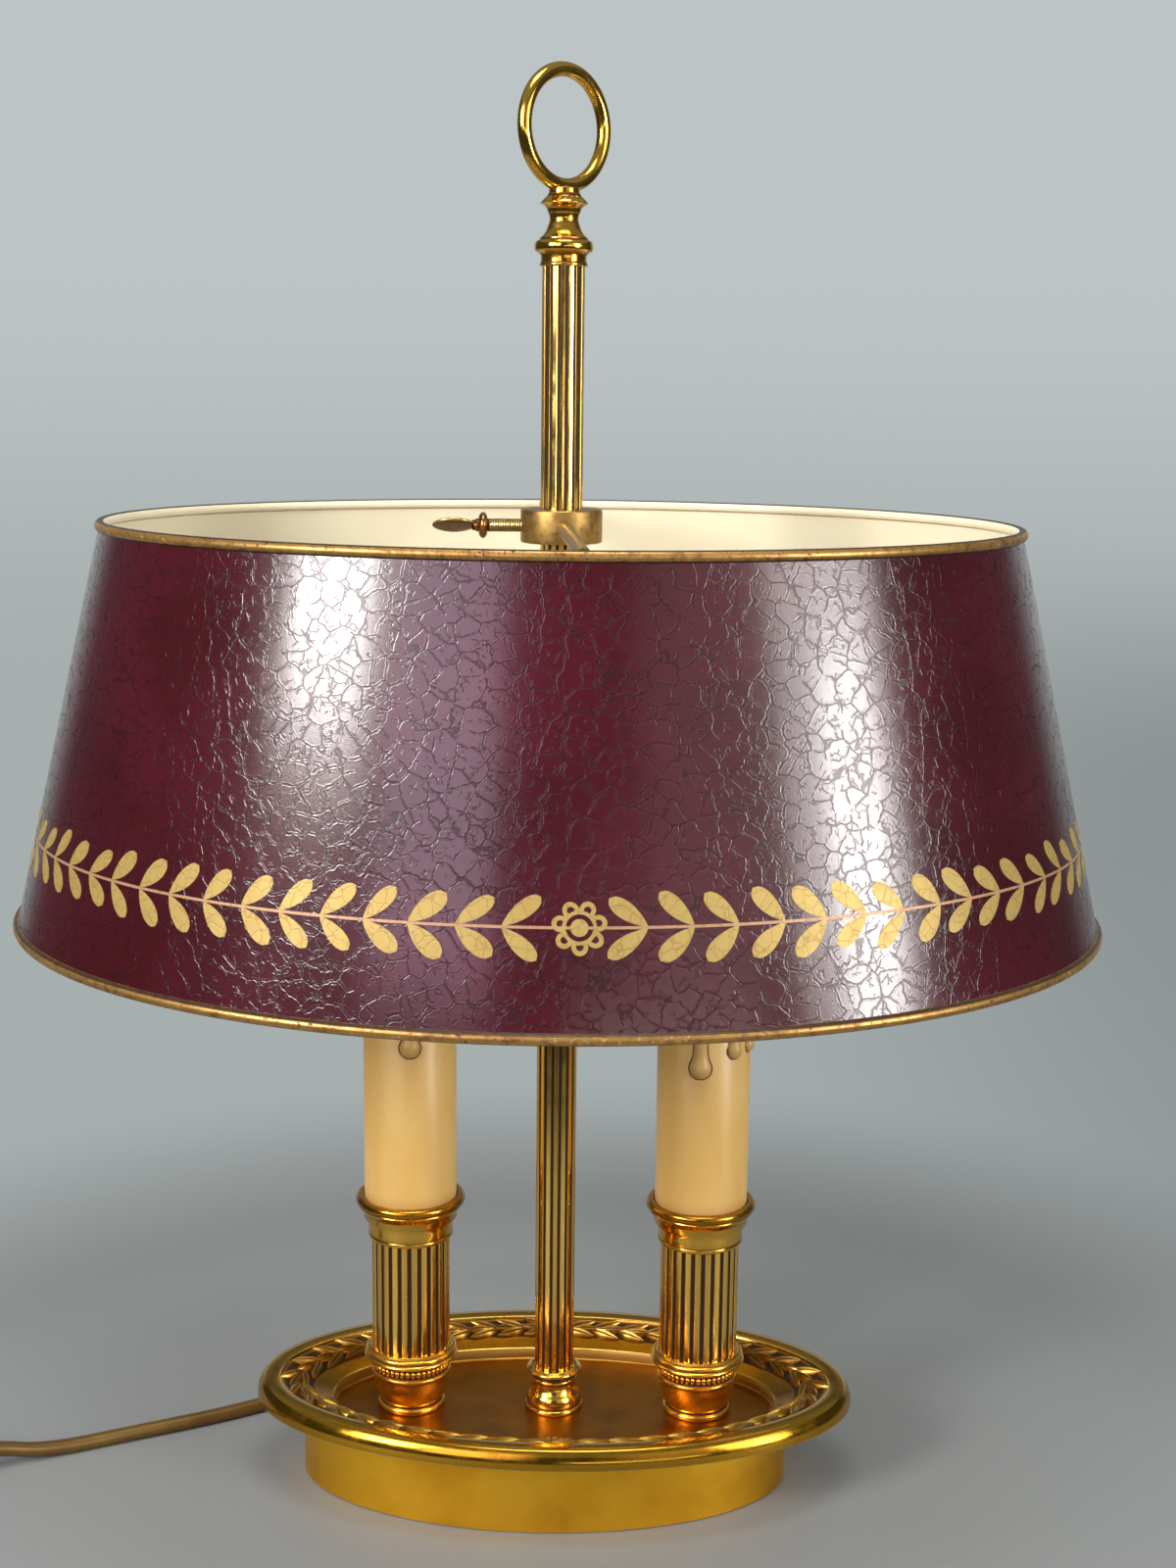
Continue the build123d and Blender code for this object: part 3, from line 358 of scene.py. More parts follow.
@dataclass(frozen=True)
class CrackleLacquer(Finish):
    """Burgundy lacquer with an open net of fine wrinkled cracks outside, cream paint inside."""

    burgundy: Colour = (0.042, 0.0014, 0.0046)
    plum: Colour = (0.060, 0.0030, 0.0088)
    crack: Colour = (0.018, 0.0008, 0.0022)
    cream: Colour = (0.97, 0.89, 0.64)
    cream_shade: Colour = (0.90, 0.78, 0.51)
    cell: float = 5.8

    def paint(self, graph: Graph) -> bpy.types.Material:
        """Crooked cracks of two sizes with raised lips that break the top coat, and a painted lining.

        Args:
            graph: the material's empty tree.

        Returns:
            The finished material.
        """
        place = graph.place()
        shaken = graph.wobble(graph.wobble(place, 7.0, 2.8), 2.1, 1.4)
        coarse = graph.cracks(self.cell, shaken)
        fine = graph.cracks(self.cell * 0.52, graph.shift(shaken, (31.0, 17.0, 9.0)))
        kept = graph.noise(4.5, 2.0, 0.5).step(0.35, 0.45)
        spur = graph.noise(3.4, 2.0, 0.5, graph.shift(place, (70.0, 0.0, 0.0))).step(0.50, 0.58)
        net = (coarse.step(0.046, 0.014) * kept).most(fine.step(0.064, 0.019) * spur * 0.8)
        lips = (coarse.step(0.038, 0.057) * coarse.step(0.108, 0.066) * kept).most(
            fine.step(0.064, 0.090) * fine.step(0.165, 0.108) * spur * 0.7)
        inside = graph.attribute("inside")
        outside = 1.0 - inside
        skin = graph.mix(graph.noise(34.0, 3.0, 0.5).step(0.35, 0.7), self.burgundy, self.plum)
        skin = graph.mix(net * 0.7, skin, self.crack)
        lining = graph.mix(graph.noise(40.0, 3.0, 0.55).step(0.4, 0.75) * 0.5, self.cream, self.cream_shade)
        relief = (lips * 0.26 - net * 0.5 + graph.noise(0.8, 3.0, 0.6) * 0.20) * outside
        rough = net * 0.10 + graph.noise(2.5, 3.0, 0.6) * 0.06 + 0.155 + inside * 0.30
        return graph.surface(
            Base_Color=graph.mix(inside, skin, lining), Roughness=rough, Normal=graph.bump(relief, 0.11, 0.5),
            IOR=1.55, Coat_Weight=outside * (1.0 - net) * 0.62, Coat_Roughness=0.17)


@dataclass(frozen=True)
class GoldPaint(Finish):
    """Gold paint brushed on the lacquer."""

    slot: str = "gilt_edge"
    gold: Colour = (0.42, 0.280, 0.066)
    pale: Colour = (0.50, 0.365, 0.115)
    thin: Colour = (0.22, 0.10, 0.030)

    def paint(self, graph: Graph) -> bpy.types.Material:
        """Opaque gold with brush marks, thinner in places and crackled like what it lies on.

        Args:
            graph: the material's empty tree.

        Returns:
            The finished material.
        """
        marks = graph.noise(1.1, 3.0, 0.65)
        crack = graph.cracks(3.6, graph.wobble(graph.place(), 5.0, 2.6)).step(0.05, 0.01)
        colour = graph.mix(graph.noise(6.0, 2.0, 0.5), self.gold, self.pale)
        return graph.surface(
            Base_Color=graph.mix(marks.step(0.60, 0.76) * 0.55 + crack * 0.45, colour, self.thin),
            Metallic=0.35, Roughness=marks * 0.2 + 0.36, Normal=graph.bump(marks - crack * 0.8, 0.05, 0.5))


@dataclass(frozen=True)
class WornGilt(Finish):
    """Gilt on the shade's wired edges, rubbed to red lacquer and bare grey in places."""

    gilt: Colour = (0.46, 0.26, 0.070)
    brown: Colour = (0.15, 0.058, 0.020)
    bare: Colour = (0.46, 0.37, 0.31)
    red: Colour = (0.11, 0.014, 0.018)
    crown_dark_and_seam_shadow: Colour = (0.022, 0.009, 0.006)
    cream: Colour = (0.92, 0.82, 0.57)

    def paint(self, graph: Graph) -> bpy.types.Material:
        """Gilt with chips and rubbed stretches, dark on the crown, painted shadow where the roll meets the sheet, cream
        where the lining laps it.

        Args:
            graph: the material's empty tree.

        Returns:
            The finished material.
        """
        rubbed = graph.noise(3.2, 4.0, 0.7)
        chips = graph.noise(1.1, 3.0, 0.6).step(0.585, 0.64)
        scraped = graph.noise(0.8, 3.0, 0.6, graph.shift(graph.place(), (50.0, 20.0, 0.0))).step(0.64, 0.69)
        # hollow mark: dark on the wire's crown, and a painted shadow on its outer side where the roll meets the sheet
        hollow = (graph.attribute("hollow") + (rubbed - 0.5) * 0.5).step(0.30, 0.70)
        lined = graph.attribute("inside").step(0.4, 0.6)
        colour = self.gilt
        for share, under in ((rubbed.step(0.44, 0.72) * 0.75, self.brown),
                             (chips * graph.noise(28.0, 2.0, 0.5).step(0.40, 0.62), self.red),
                             (scraped * 0.8, self.bare), (hollow * 0.9, self.crown_dark_and_seam_shadow), (lined, self.cream)):
            colour = graph.mix(share, colour, under)
        metal = (0.75 - chips * 0.45 - hollow * 0.4).most(0.0) * (1.0 - lined)
        return graph.surface(Base_Color=colour, Metallic=metal, Roughness=rubbed * 0.25 + 0.26 + chips * 0.15,
                             Normal=graph.bump(rubbed * 0.5 - chips * 0.6, 0.12, 0.8))


@dataclass(frozen=True)
class Wax(Finish):
    """Ochre-cream candle sleeve, waxy and a little mottled."""

    cream: Colour = (0.56, 0.335, 0.090)
    pale: Colour = (0.62, 0.41, 0.140)
    soil_and_shadow: Colour = (0.15, 0.040, 0.014)

    def paint(self, graph: Graph) -> bpy.types.Material:
        """Soft vertical clouds, a darker foot, dark specks, painted shadow in creases and round the wax runs, and a
        satin skin.

        Args:
            graph: the material's empty tree.

        Returns:
            The finished material.
        """
        cloud = graph.noise(16.0, 3.0, 0.55, graph.stretch(graph.place(), (1.0, 1.0, 0.35)))
        speck = graph.noise(0.9, 3.0, 0.6).step(0.70, 0.78)
        foot = graph.part(graph.place(), 2).step(101.0, 95.0)
        # darker towards the foot, dark specks, and painted shadow from the hollow mark in creases and round the runs
        soil_and_shadow_share = (foot * 0.30 + graph.attribute("hollow") * 0.95 + speck * 0.10).least(1.0)
        colour = graph.mix(cloud.step(0.3, 0.75), self.cream, self.pale)
        return graph.surface(
            Base_Color=graph.mix(soil_and_shadow_share, colour, self.soil_and_shadow), Roughness=cloud * 0.12 + 0.30,
            Subsurface_Weight=0.08, Subsurface_Radius=(1.0, 0.45, 0.2), Subsurface_Scale=0.0015,
            Normal=graph.bump(graph.noise(5.0, 3.0, 0.5), 0.12, 0.5))


@dataclass(frozen=True)
class Moulded(Finish):
    """Moulded plastic or a plain smooth surface with a fine texture."""

    colour: Colour
    second: Colour
    rough: float = 0.4
    metal: float = 0.0
    texture: float = 0.5
    coat: float = 0.0

    def paint(self, graph: Graph) -> bpy.types.Material:
        """Two close colours in soft clouds over a fine grain.

        Args:
            graph: the material's empty tree.

        Returns:
            The finished material.
        """
        cloud = graph.noise(9.0, 4.0, 0.6)
        grain = graph.noise(self.texture, 2.0, 0.6)
        return graph.surface(
            Base_Color=graph.mix(cloud.step(0.38, 0.7), self.colour, self.second), Metallic=self.metal,
            Coat_Weight=self.coat, Roughness=cloud * 0.1 + grain * 0.1 + self.rough - 0.08,
            Normal=graph.bump(grain, 0.03, 0.6))


@dataclass(frozen=True)
class Felt(Finish):
    """Pressed felt."""

    dark: Colour = (0.012, 0.045, 0.022)
    light: Colour = (0.035, 0.095, 0.05)

    def paint(self, graph: Graph) -> bpy.types.Material:
        """Tangled fibres in two greens.

        Args:
            graph: the material's empty tree.

        Returns:
            The finished material.
        """
        fibre = graph.noise(0.35, 4.0, 0.75, graph.wobble(graph.place(), 1.2, 1.5))
        return graph.surface(Base_Color=graph.mix(fibre, self.dark, self.light), Roughness=0.95,
                             Sheen_Weight=0.25, Normal=graph.bump(fibre, 0.25, 0.8))


@dataclass(frozen=True)
class CastIron(Finish):
    """Rough cast ballast."""

    dark: Colour = (0.03, 0.03, 0.032)
    rust: Colour = (0.11, 0.055, 0.03)

    def paint(self, graph: Graph) -> bpy.types.Material:
        """Sand-cast skin with specks of rust.

        Args:
            graph: the material's empty tree.

        Returns:
            The finished material.
        """
        sand = graph.noise(0.9, 4.0, 0.7)
        colour = graph.mix(graph.noise(7.0, 3.0, 0.6).step(0.55, 0.75), self.dark, self.rust)
        return graph.surface(Base_Color=colour, Metallic=0.6, Roughness=sand * 0.2 + 0.6,
                             Normal=graph.bump(sand, 0.35, 0.8))


@dataclass(frozen=True)
class LampGlass(Finish):
    """Clear glass of the candle lamps."""

    def paint(self, graph: Graph) -> bpy.types.Material:
        """Glass with faint drawing waves."""
        return graph.surface(Base_Color=(0.96, 0.97, 0.97), Roughness=0.03, Transmission_Weight=1.0, IOR=1.46,
                             Normal=graph.bump(graph.noise(6.0, 1.0, 0.5), 0.05, 0.3))


@dataclass(frozen=True)
class FlexSheath(Finish):
    """Smooth gold sheath of the flex, a little dusty."""

    gold: Colour = (0.160, 0.088, 0.013)
    tan: Colour = (0.120, 0.060, 0.009)
    dust: Colour = (0.20, 0.145, 0.070)

    def paint(self, graph: Graph) -> bpy.types.Material:
        """Satin sheath with scuffs and dust.

        Args:
            graph: the material's empty tree.

        Returns:
            The finished material.
        """
        cloud = graph.noise(18.0, 3.0, 0.6)
        scuff = graph.noise(1.5, 4.0, 0.7).step(0.60, 0.72)
        colour = graph.mix(cloud.step(0.35, 0.7), self.gold, self.tan)
        return graph.surface(
            Base_Color=graph.mix(scuff * 0.45, colour, self.dust), Metallic=0.35,
            Roughness=cloud * 0.12 + 0.32 + scuff * 0.18, Normal=graph.bump(graph.noise(2.2, 2.0, 0.5), 0.05, 0.5))


POLISHED = Brass("lacquered_brass")
STEM_BRASS = Brass("stem_brass", bright=(0.86, 0.56, 0.13), stains=0.25)
COLUMN_BRASS = Brass("column_brass", bright=(0.84, 0.53, 0.11), stains=0.3, gloss=0.14)
CUP_BRASS = Brass("cup_brass", bright=(0.90, 0.49, 0.065), deep=(0.68, 0.28, 0.022), stains=0.5, gloss=0.20)
RELIEF = Brass("relief_brass", bright=(0.38, 0.20, 0.028), deep=(0.21, 0.09, 0.008), worn=(0.62, 0.39, 0.09),
               gloss=0.28, haze=0.2, stains=0.5, wear=0.6)
SCREW = Brass("screw_brass", "antique_brass", bright=(0.36, 0.17, 0.050), deep=(0.18, 0.060, 0.018), gloss=0.2,
              haze=0.2, stains=0.8, wear=0.6)
TRAY_BRASS = Brass("tray_brass", bright=(0.52, 0.265, 0.022), deep=(0.37, 0.165, 0.010), gloss=0.12, haze=0.18,
                   stains=0.6, grain=0.5, wear=0.45)
BAND = SatinBand("satin_foot_band", "satin_brass")
CLAMP = AntiqueBrass("dull_clamp_brass", "antique_brass")
LACQUER = CrackleLacquer("crackle_lacquer", "tole_lacquer")
GOLD = GoldPaint("gold_paint")
LINE = GoldPaint("line_paint", gold=(0.44, 0.24, 0.12), pale=(0.50, 0.30, 0.16), thin=(0.30, 0.12, 0.08))
GILT = WornGilt("worn_gilt", "gilt_edge")
WAX = Wax("candle_wax", "candle_cream")
FLEX = FlexSheath("flex_sheath", "flex_gold")
GLASS = LampGlass("clear_lamp_glass", "lamp_glass")
FELT = Felt("green_felt", "felt")
IRON = CastIron("cast_iron", "ballast_iron")
ZINC = Moulded("zinc_plate", "zinc_steel", (0.52, 0.53, 0.55), (0.40, 0.41, 0.44), 0.32, 1.0, texture=0.8)
PHENOLIC = Moulded("dark_phenolic", "holder_plastic", (0.018, 0.014, 0.012), (0.030, 0.022, 0.018), 0.28)
CONTACT = Moulded("plain_contact_brass", "contact_brass", (0.62, 0.42, 0.14), (0.48, 0.30, 0.10), 0.25, 1.0)
CAP = Moulded("rolled_aluminium", "cap_metal", (0.66, 0.66, 0.67), (0.52, 0.52, 0.54), 0.3, 1.0)
SWITCH = Moulded("gold_moulding", "switch_gold", (0.30, 0.19, 0.055), (0.24, 0.145, 0.045), 0.3, 0.25, coat=0.15)
BUSH = replace(SWITCH, slot="flex_gold")
CERAMIC = Moulded("white_moulding", "block_white", (0.66, 0.65, 0.60), (0.56, 0.54, 0.48), 0.45)
NICKEL = Moulded("nickel_pins", "plug_pin_nickel", (0.70, 0.67, 0.61), (0.60, 0.56, 0.50), 0.18, 1.0)


# ---------------------------------------------------------------- mesh tools
def reach(place: Vector) -> float:
    """A point's distance from the Z axis."""
    return math.hypot(place.x, place.y)


def placed(x: float = 0.0, y: float = 0.0, z: float = 0.0, turn: float = 0.0) -> Matrix:
    """A place in millimetres with a turn about Z in degrees."""
    return Matrix.Translation((x, y, z)) @ Matrix.Rotation(math.radians(turn), 4, "Z")


def on_oval(place: Vector, half_length: float, half_width: float) -> Vector:
    """Moves a point of the drum, a cylinder of radius 100, to an oval.

    Args:
        place: the point; what it stands out of the drum, it stands out of the oval.
        half_length: the oval's along X.
        half_width: the oval's along Y.

    Returns:
        The point's new place.
    """
    radius = reach(place)
    out = radius - DRUM
    return Vector(((half_length + out) * place.x / radius, (half_width + out) * place.y / radius, place.z))


def only(items: Sequence, kind: type) -> list:
    """The items of one kind."""
    return [item for item in items if isinstance(item, kind)]


def add_object(name: str, data: bpy.types.ID) -> bpy.types.Object:
    """A new object in the scene.

    Args:
        name: its name.
        data: its mesh, curve, light or camera.

    Returns:
        The object.
    """
    made = bpy.data.objects.new(name, data)
    bpy.context.scene.collection.objects.link(made)
    return made


def settle(piece: bpy.types.Object, body: str, replaces: Sequence[str] = ()) -> bpy.types.Object:
    """Lets a finished piece ride on its body.

    Args:
        piece: the piece.
        body: the body that it rides on.
        replaces: the CAD nodes that it stands for.

    Returns:
        The piece.
    """
    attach(piece, body)
    if replaces:
        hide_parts(*replaces)
    LOG.info("%s rides on %s", piece.name, body)
    return piece


class Profile:
    """Half outline of a turned piece, in millimetres over a base height: straight cuts, bows and beads."""

    def __init__(self, radius: float, height: float, base: float = 0.0) -> None:
        """Starts at a radius and a height."""
        self.base = base
        self.points = [self.over((radius, height))]

    def over(self, spot: Spot) -> Spot:
        """A point over the base height."""
        return (spot[0], self.base + spot[1])

    def to(self, *spots: Spot) -> "Profile":
        """Cuts straight from point to point."""
        self.points += [self.over(spot) for spot in spots]
        return self

    def bow(self, through: Spot, end: Spot, steps: int = 8) -> "Profile":
        """Cuts a smooth bow.

        Args:
            through: the point that it passes half way.
            end: where it ends.
            steps: number of straight cuts.

        Returns:
            The profile itself.
        """
        start, through, end = self.points[-1], self.over(through), self.over(end)
        bend = tuple(2 * t - (s + e) / 2 for s, t, e in zip(start, through, end))
        for step in range(1, steps + 1):
            t = step / steps
            self.points.append(tuple(
                (1 - t) ** 2 * s + 2 * t * (1 - t) * b + t * t * e for s, b, e in zip(start, bend, end)))
        return self

    def bead(self, out: float, top: Spot, steps: int = 8) -> "Profile":
        """Rolls a half round outwards from the last point.

        Args:
            out: how far the round stands out.
            top: where it ends.
            steps: number of straight cuts.

        Returns:
            The profile itself.
        """
        start = Vector(self.points[-1])
        along = Vector(self.over(top)) - start
        side = Vector((along.y, -along.x)).normalized() * out
        for step in range(1, steps + 1):
            t = math.pi * step / steps
            self.points.append(tuple(start + along * (1 - math.cos(t)) / 2 + side * math.sin(t)))
        return self


def wire(radius: float, height: float, thick: float, step: int) -> list[Spot]:
    """The round section of a ring, with its radius, height, half thickness and degrees from point to point."""
    return [(radius + thick * math.cos(math.radians(n)), height + thick * math.sin(math.radians(n)))
            for n in range(0, 360, step)]


class Blank:
    """A piece of stock under the tools, in millimetres."""

    CREASE = math.radians(28.0)

    def __init__(self) -> None:
        """Starts with nothing."""
        self.bm = bmesh.new()

    def turn(self, outline: Sequence[Spot], steps: int = 96, closed: bool = True) -> "Blank":
        """Turns an outline about Z.

        Args:
            outline: (radius, height) points.
            steps: number of facets round the axis.
            closed: whether the last point joins the first.

        Returns:
            The blank itself.
        """
        verts = [self.bm.verts.new((radius, 0, height)) for radius, height in outline]
        pairs = [*zip(verts, verts[1:])] + [(verts[-1], verts[0])] * closed
        edges = [self.bm.edges.new(pair) for pair in pairs]
        bmesh.ops.spin(self.bm, geom=verts + edges, axis=(0, 0, 1), cent=(0, 0, 0), steps=steps,
                       angle=2 * math.pi, use_merge=True)
        bmesh.ops.remove_doubles(self.bm, verts=self.bm.verts, dist=1e-4)
        return self.face_out()

    def ball(self, around: int, along: int) -> "Blank":
        """Starts as a ball of radius 1."""
        bmesh.ops.create_uvsphere(self.bm, u_segments=around, v_segments=along, radius=1.0)
        return self

    def sheet(self, along: int, across: int) -> "Blank":
        """Starts as a flat square from the origin along X, a millimetre long and wide.

        Args:
            along: facets along X.
            across: facets along Y.

        Returns:
            The blank itself.
        """
        bmesh.ops.create_grid(self.bm, x_segments=along, y_segments=across, size=0.5)
        bmesh.ops.translate(self.bm, vec=(0.5, 0, 0), verts=self.bm.verts)
        return self

    def face_out(self) -> "Blank":
        """Turns all faces outwards."""
        bmesh.ops.recalc_face_normals(self.bm, faces=self.bm.faces)
        return self

    def soften(self, width: float, segments: int = 2) -> "Blank":
        """Breaks the sharp edges.

        Args:
            width: how far each edge is cut back.
            segments: cuts across each edge.

        Returns:
            The blank itself.
        """
        sharp = [edge for edge in self.bm.edges
                 if len(edge.link_faces) == 2 and edge.calc_face_angle(0.0) > self.CREASE]
        bmesh.ops.bevel(self.bm, geom=sharp, offset=width, offset_type="OFFSET", segments=segments,
                        profile=0.5, affect="EDGES", clamp_overlap=True, material=-1)
        return self

    def move(self, matrix: Matrix) -> "Blank":
        """Moves the stock."""
        bmesh.ops.transform(self.bm, matrix=matrix, verts=self.bm.verts)
        return self

    def add(self, other: "Blank", matrix: Matrix = Matrix.Identity(4)) -> "Blank":
        """Adds a placed copy of another blank.

        Args:
            other: the other blank, which stays as it is.
            matrix: the copy's place.

        Returns:
            The blank itself.
        """
        copy = other.bm.copy()
        bmesh.ops.transform(copy, matrix=matrix, verts=copy.verts)
        mesh = bpy.data.meshes.new("copy")
        copy.to_mesh(mesh)
        copy.free()
        self.bm.from_mesh(mesh)
        bpy.data.meshes.remove(mesh)
        return self

    def bend(self, rule: Callable[[Vector], Vector]) -> "Blank":
        """Moves each point.

        Args:
            rule: a point's new place by its old one.

        Returns:
            The blank itself.
        """
        for vert in self.bm.verts:
            vert.co = rule(vert.co)
        return self

    def thicken(self, depth: float) -> "Blank":
        """Gives a flat or bowed sheet in XY a body.

        Args:
            depth: how thick it gets upwards, or downwards where it is below 0.

        Returns:
            The blank itself.
        """
        bmesh.ops.remove_doubles(self.bm, verts=self.bm.verts, dist=1e-5)
        made = bmesh.ops.extrude_face_region(self.bm, geom=list(self.bm.faces))["geom"]
        bmesh.ops.translate(self.bm, vec=(0, 0, depth), verts=only(made, bmesh.types.BMVert))
        return self.face_out()

    def layer(self, name: str) -> bmesh.types.BMLayerItem:
        """The layer of a point attribute, made once."""
        return self.bm.verts.layers.float.get(name) or self.bm.verts.layers.float.new(name)

    def mark(self, name: str, rule: Callable[[Vector], float]) -> "Blank":
        """Writes an attribute where it is larger than what is there.

        Args:
            name: the attribute's name.
            rule: its value by a point's place.

        Returns:
            The blank itself.
        """
        layer = self.layer(name)
        for vert in self.bm.verts:
            vert[layer] = max(vert[layer], rule(vert.co))
        return self

    def stain(self, weight: float = 1.2, blur: int = 3) -> "Blank":
        """Writes how hollow and how exposed each point is.

        Args:
            weight: how strongly a curve counts.
            blur: how often the marks are spread to their neighbours.

        Returns:
            The blank itself.
        """
        layers = [self.layer(name) for name in ("hollow", "edge")]
        for edge in self.bm.edges:
            if len(edge.link_faces) != 2:
                continue
            first, second = edge.link_faces
            apart = (first.calc_center_median() - second.calc_center_median()).length
            curve = edge.calc_face_angle_signed(0.0) / max(apart, 0.05) * weight
            layer = layers[curve >= 0]
            for vert in edge.verts:
                vert[layer] = max(vert[layer], min(1.0, abs(curve)))
        for layer in layers * blur:
            around = [[edge.other_vert(vert)[layer] for edge in vert.link_edges] for vert in self.bm.verts]
            spread = [0.5 * vert[layer] + 0.5 * sum(near) / max(1, len(near))
                      for vert, near in zip(self.bm.verts, around)]
            for vert, value in zip(self.bm.verts, spread):
                vert[layer] = value
        return self

    def finish(self, name: str, finish: Finish, replaces: Sequence[str] = (), body: str = "base",
               sharp: float = 50.0) -> bpy.types.Object:
        """Makes the blank an object that rides on a body.

        Args:
            name: the piece's name.
            finish: its finish.
            replaces: the CAD nodes that it stands for.
            body: the body that it rides on.
            sharp: edges that turn more than this stay crisp.

        Returns:
            The finished object.
        """
        for face in self.bm.faces:
            face.smooth = True
        for edge in self.bm.edges:
            edge.smooth = len(edge.link_faces) != 2 or edge.calc_face_angle(0.0) < math.radians(sharp)
        bmesh.ops.scale(self.bm, vec=(MM, MM, MM), verts=self.bm.verts)
        mesh = bpy.data.meshes.new(name)
        self.bm.to_mesh(mesh)
        self.bm.free()
        mesh.materials.append(finish.material())
        return settle(add_object(name, mesh), body, replaces)


def refine(node: str, name: str, finish: Finish, body: str = "base") -> bpy.types.Object:
    """A copy of a CAD node with merged corners, smooth faces and crisp edges.

    Args:
        node: the CAD node.
        name: the new piece's name.
        finish: its finish.
        body: the body that it rides on.

    Returns:
        The new piece.
    """
    blank = Blank()
    blank.bm.from_mesh(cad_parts[node].data)
    bmesh.ops.remove_doubles(blank.bm, verts=blank.bm.verts, dist=1e-6)
    bmesh.ops.scale(blank.bm, vec=(1 / MM, 1 / MM, 1 / MM), verts=blank.bm.verts)
    return blank.finish(name, finish, [node], body, 30.0)


def plate(radius: float, hole: float, thickness: float) -> Blank:
    """A flat disc or ring.

    Args:
        radius: its outer radius.
        hole: its inner radius, or 0 for a disc.
        thickness: how far it stands over 0.

    Returns:
        The plate, with its underside a little below 0.
    """
    bottom = -0.04
    outline = [(radius, bottom), (radius, thickness), (hole, thickness), (hole, bottom)]
    return Blank().turn(outline, 28, closed=hole > 0)


@dataclass(frozen=True)
class FlutedTube:
    """A tube with round-bottomed flutes: half a flute's width is a share of the pitch, turn the first one's angle."""

    radius: float
    bore: float
    flutes: int
    groove: float
    half: float
    turn: float
    bottom: float
    top: float

    def build(self) -> Blank:
        """Draws the fluted section, raises it and bores it.

        Returns:
            The tube.
        """
        half = self.half
        section = [(-0.5, 0.0), (-0.36, 0.0), (-1.12 * half, 0.0), (-half, 0.10), (-0.78 * half, 0.62),
                   (-0.4 * half, 0.93), (0.0, 1.0), (0.4 * half, 0.93), (0.78 * half, 0.62), (half, 0.10),
                   (1.12 * half, 0.0), (0.36, 0.0)]
        blank = Blank()
        verts = bmesh.ops.create_circle(blank.bm, segments=self.flutes * len(section), radius=1.0)["verts"]
        verts.sort(key=lambda vert: math.atan2(vert.co.y, vert.co.x))
        for n, vert in enumerate(verts):
            share, sink = section[n % len(section)]
            angle = math.radians(self.turn) + 2 * math.pi * (n // len(section) + share) / self.flutes
            vert.co = Vector((math.cos(angle), math.sin(angle), 0.0)) * (self.radius - self.groove * sink)
            vert.co.z = self.bottom
        outer = list(blank.bm.edges)
        raised = bmesh.ops.extrude_edge_only(blank.bm, edges=outer)["geom"]
        bmesh.ops.translate(blank.bm, vec=(0, 0, self.top - self.bottom), verts=only(raised, bmesh.types.BMVert))
        blank.mark("hollow", lambda co: float(reach(co) < self.radius - 0.3 * self.groove))
        for edges, height in ((outer, self.bottom), (only(raised, bmesh.types.BMEdge), self.top)):
            ring = bmesh.ops.create_circle(blank.bm, segments=len(verts), radius=self.bore)["verts"]
            bmesh.ops.translate(blank.bm, vec=(0, 0, height), verts=ring)
            bmesh.ops.bridge_loops(blank.bm, edges=edges + list({e for v in ring for e in v.link_edges}))
        bmesh.ops.bridge_loops(blank.bm, edges=[edge for edge in blank.bm.edges if len(edge.link_faces) == 1])
        return blank.face_out()


class Side(Enum):
    """The two candles."""

    LEFT = "left"
    RIGHT = "right"

    @property
    def place(self) -> Matrix:
        """Where the candle's axis is."""
        low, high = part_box(f"column_{self.value}")
        return placed(x=(low.x + high.x) / 2 / MM)


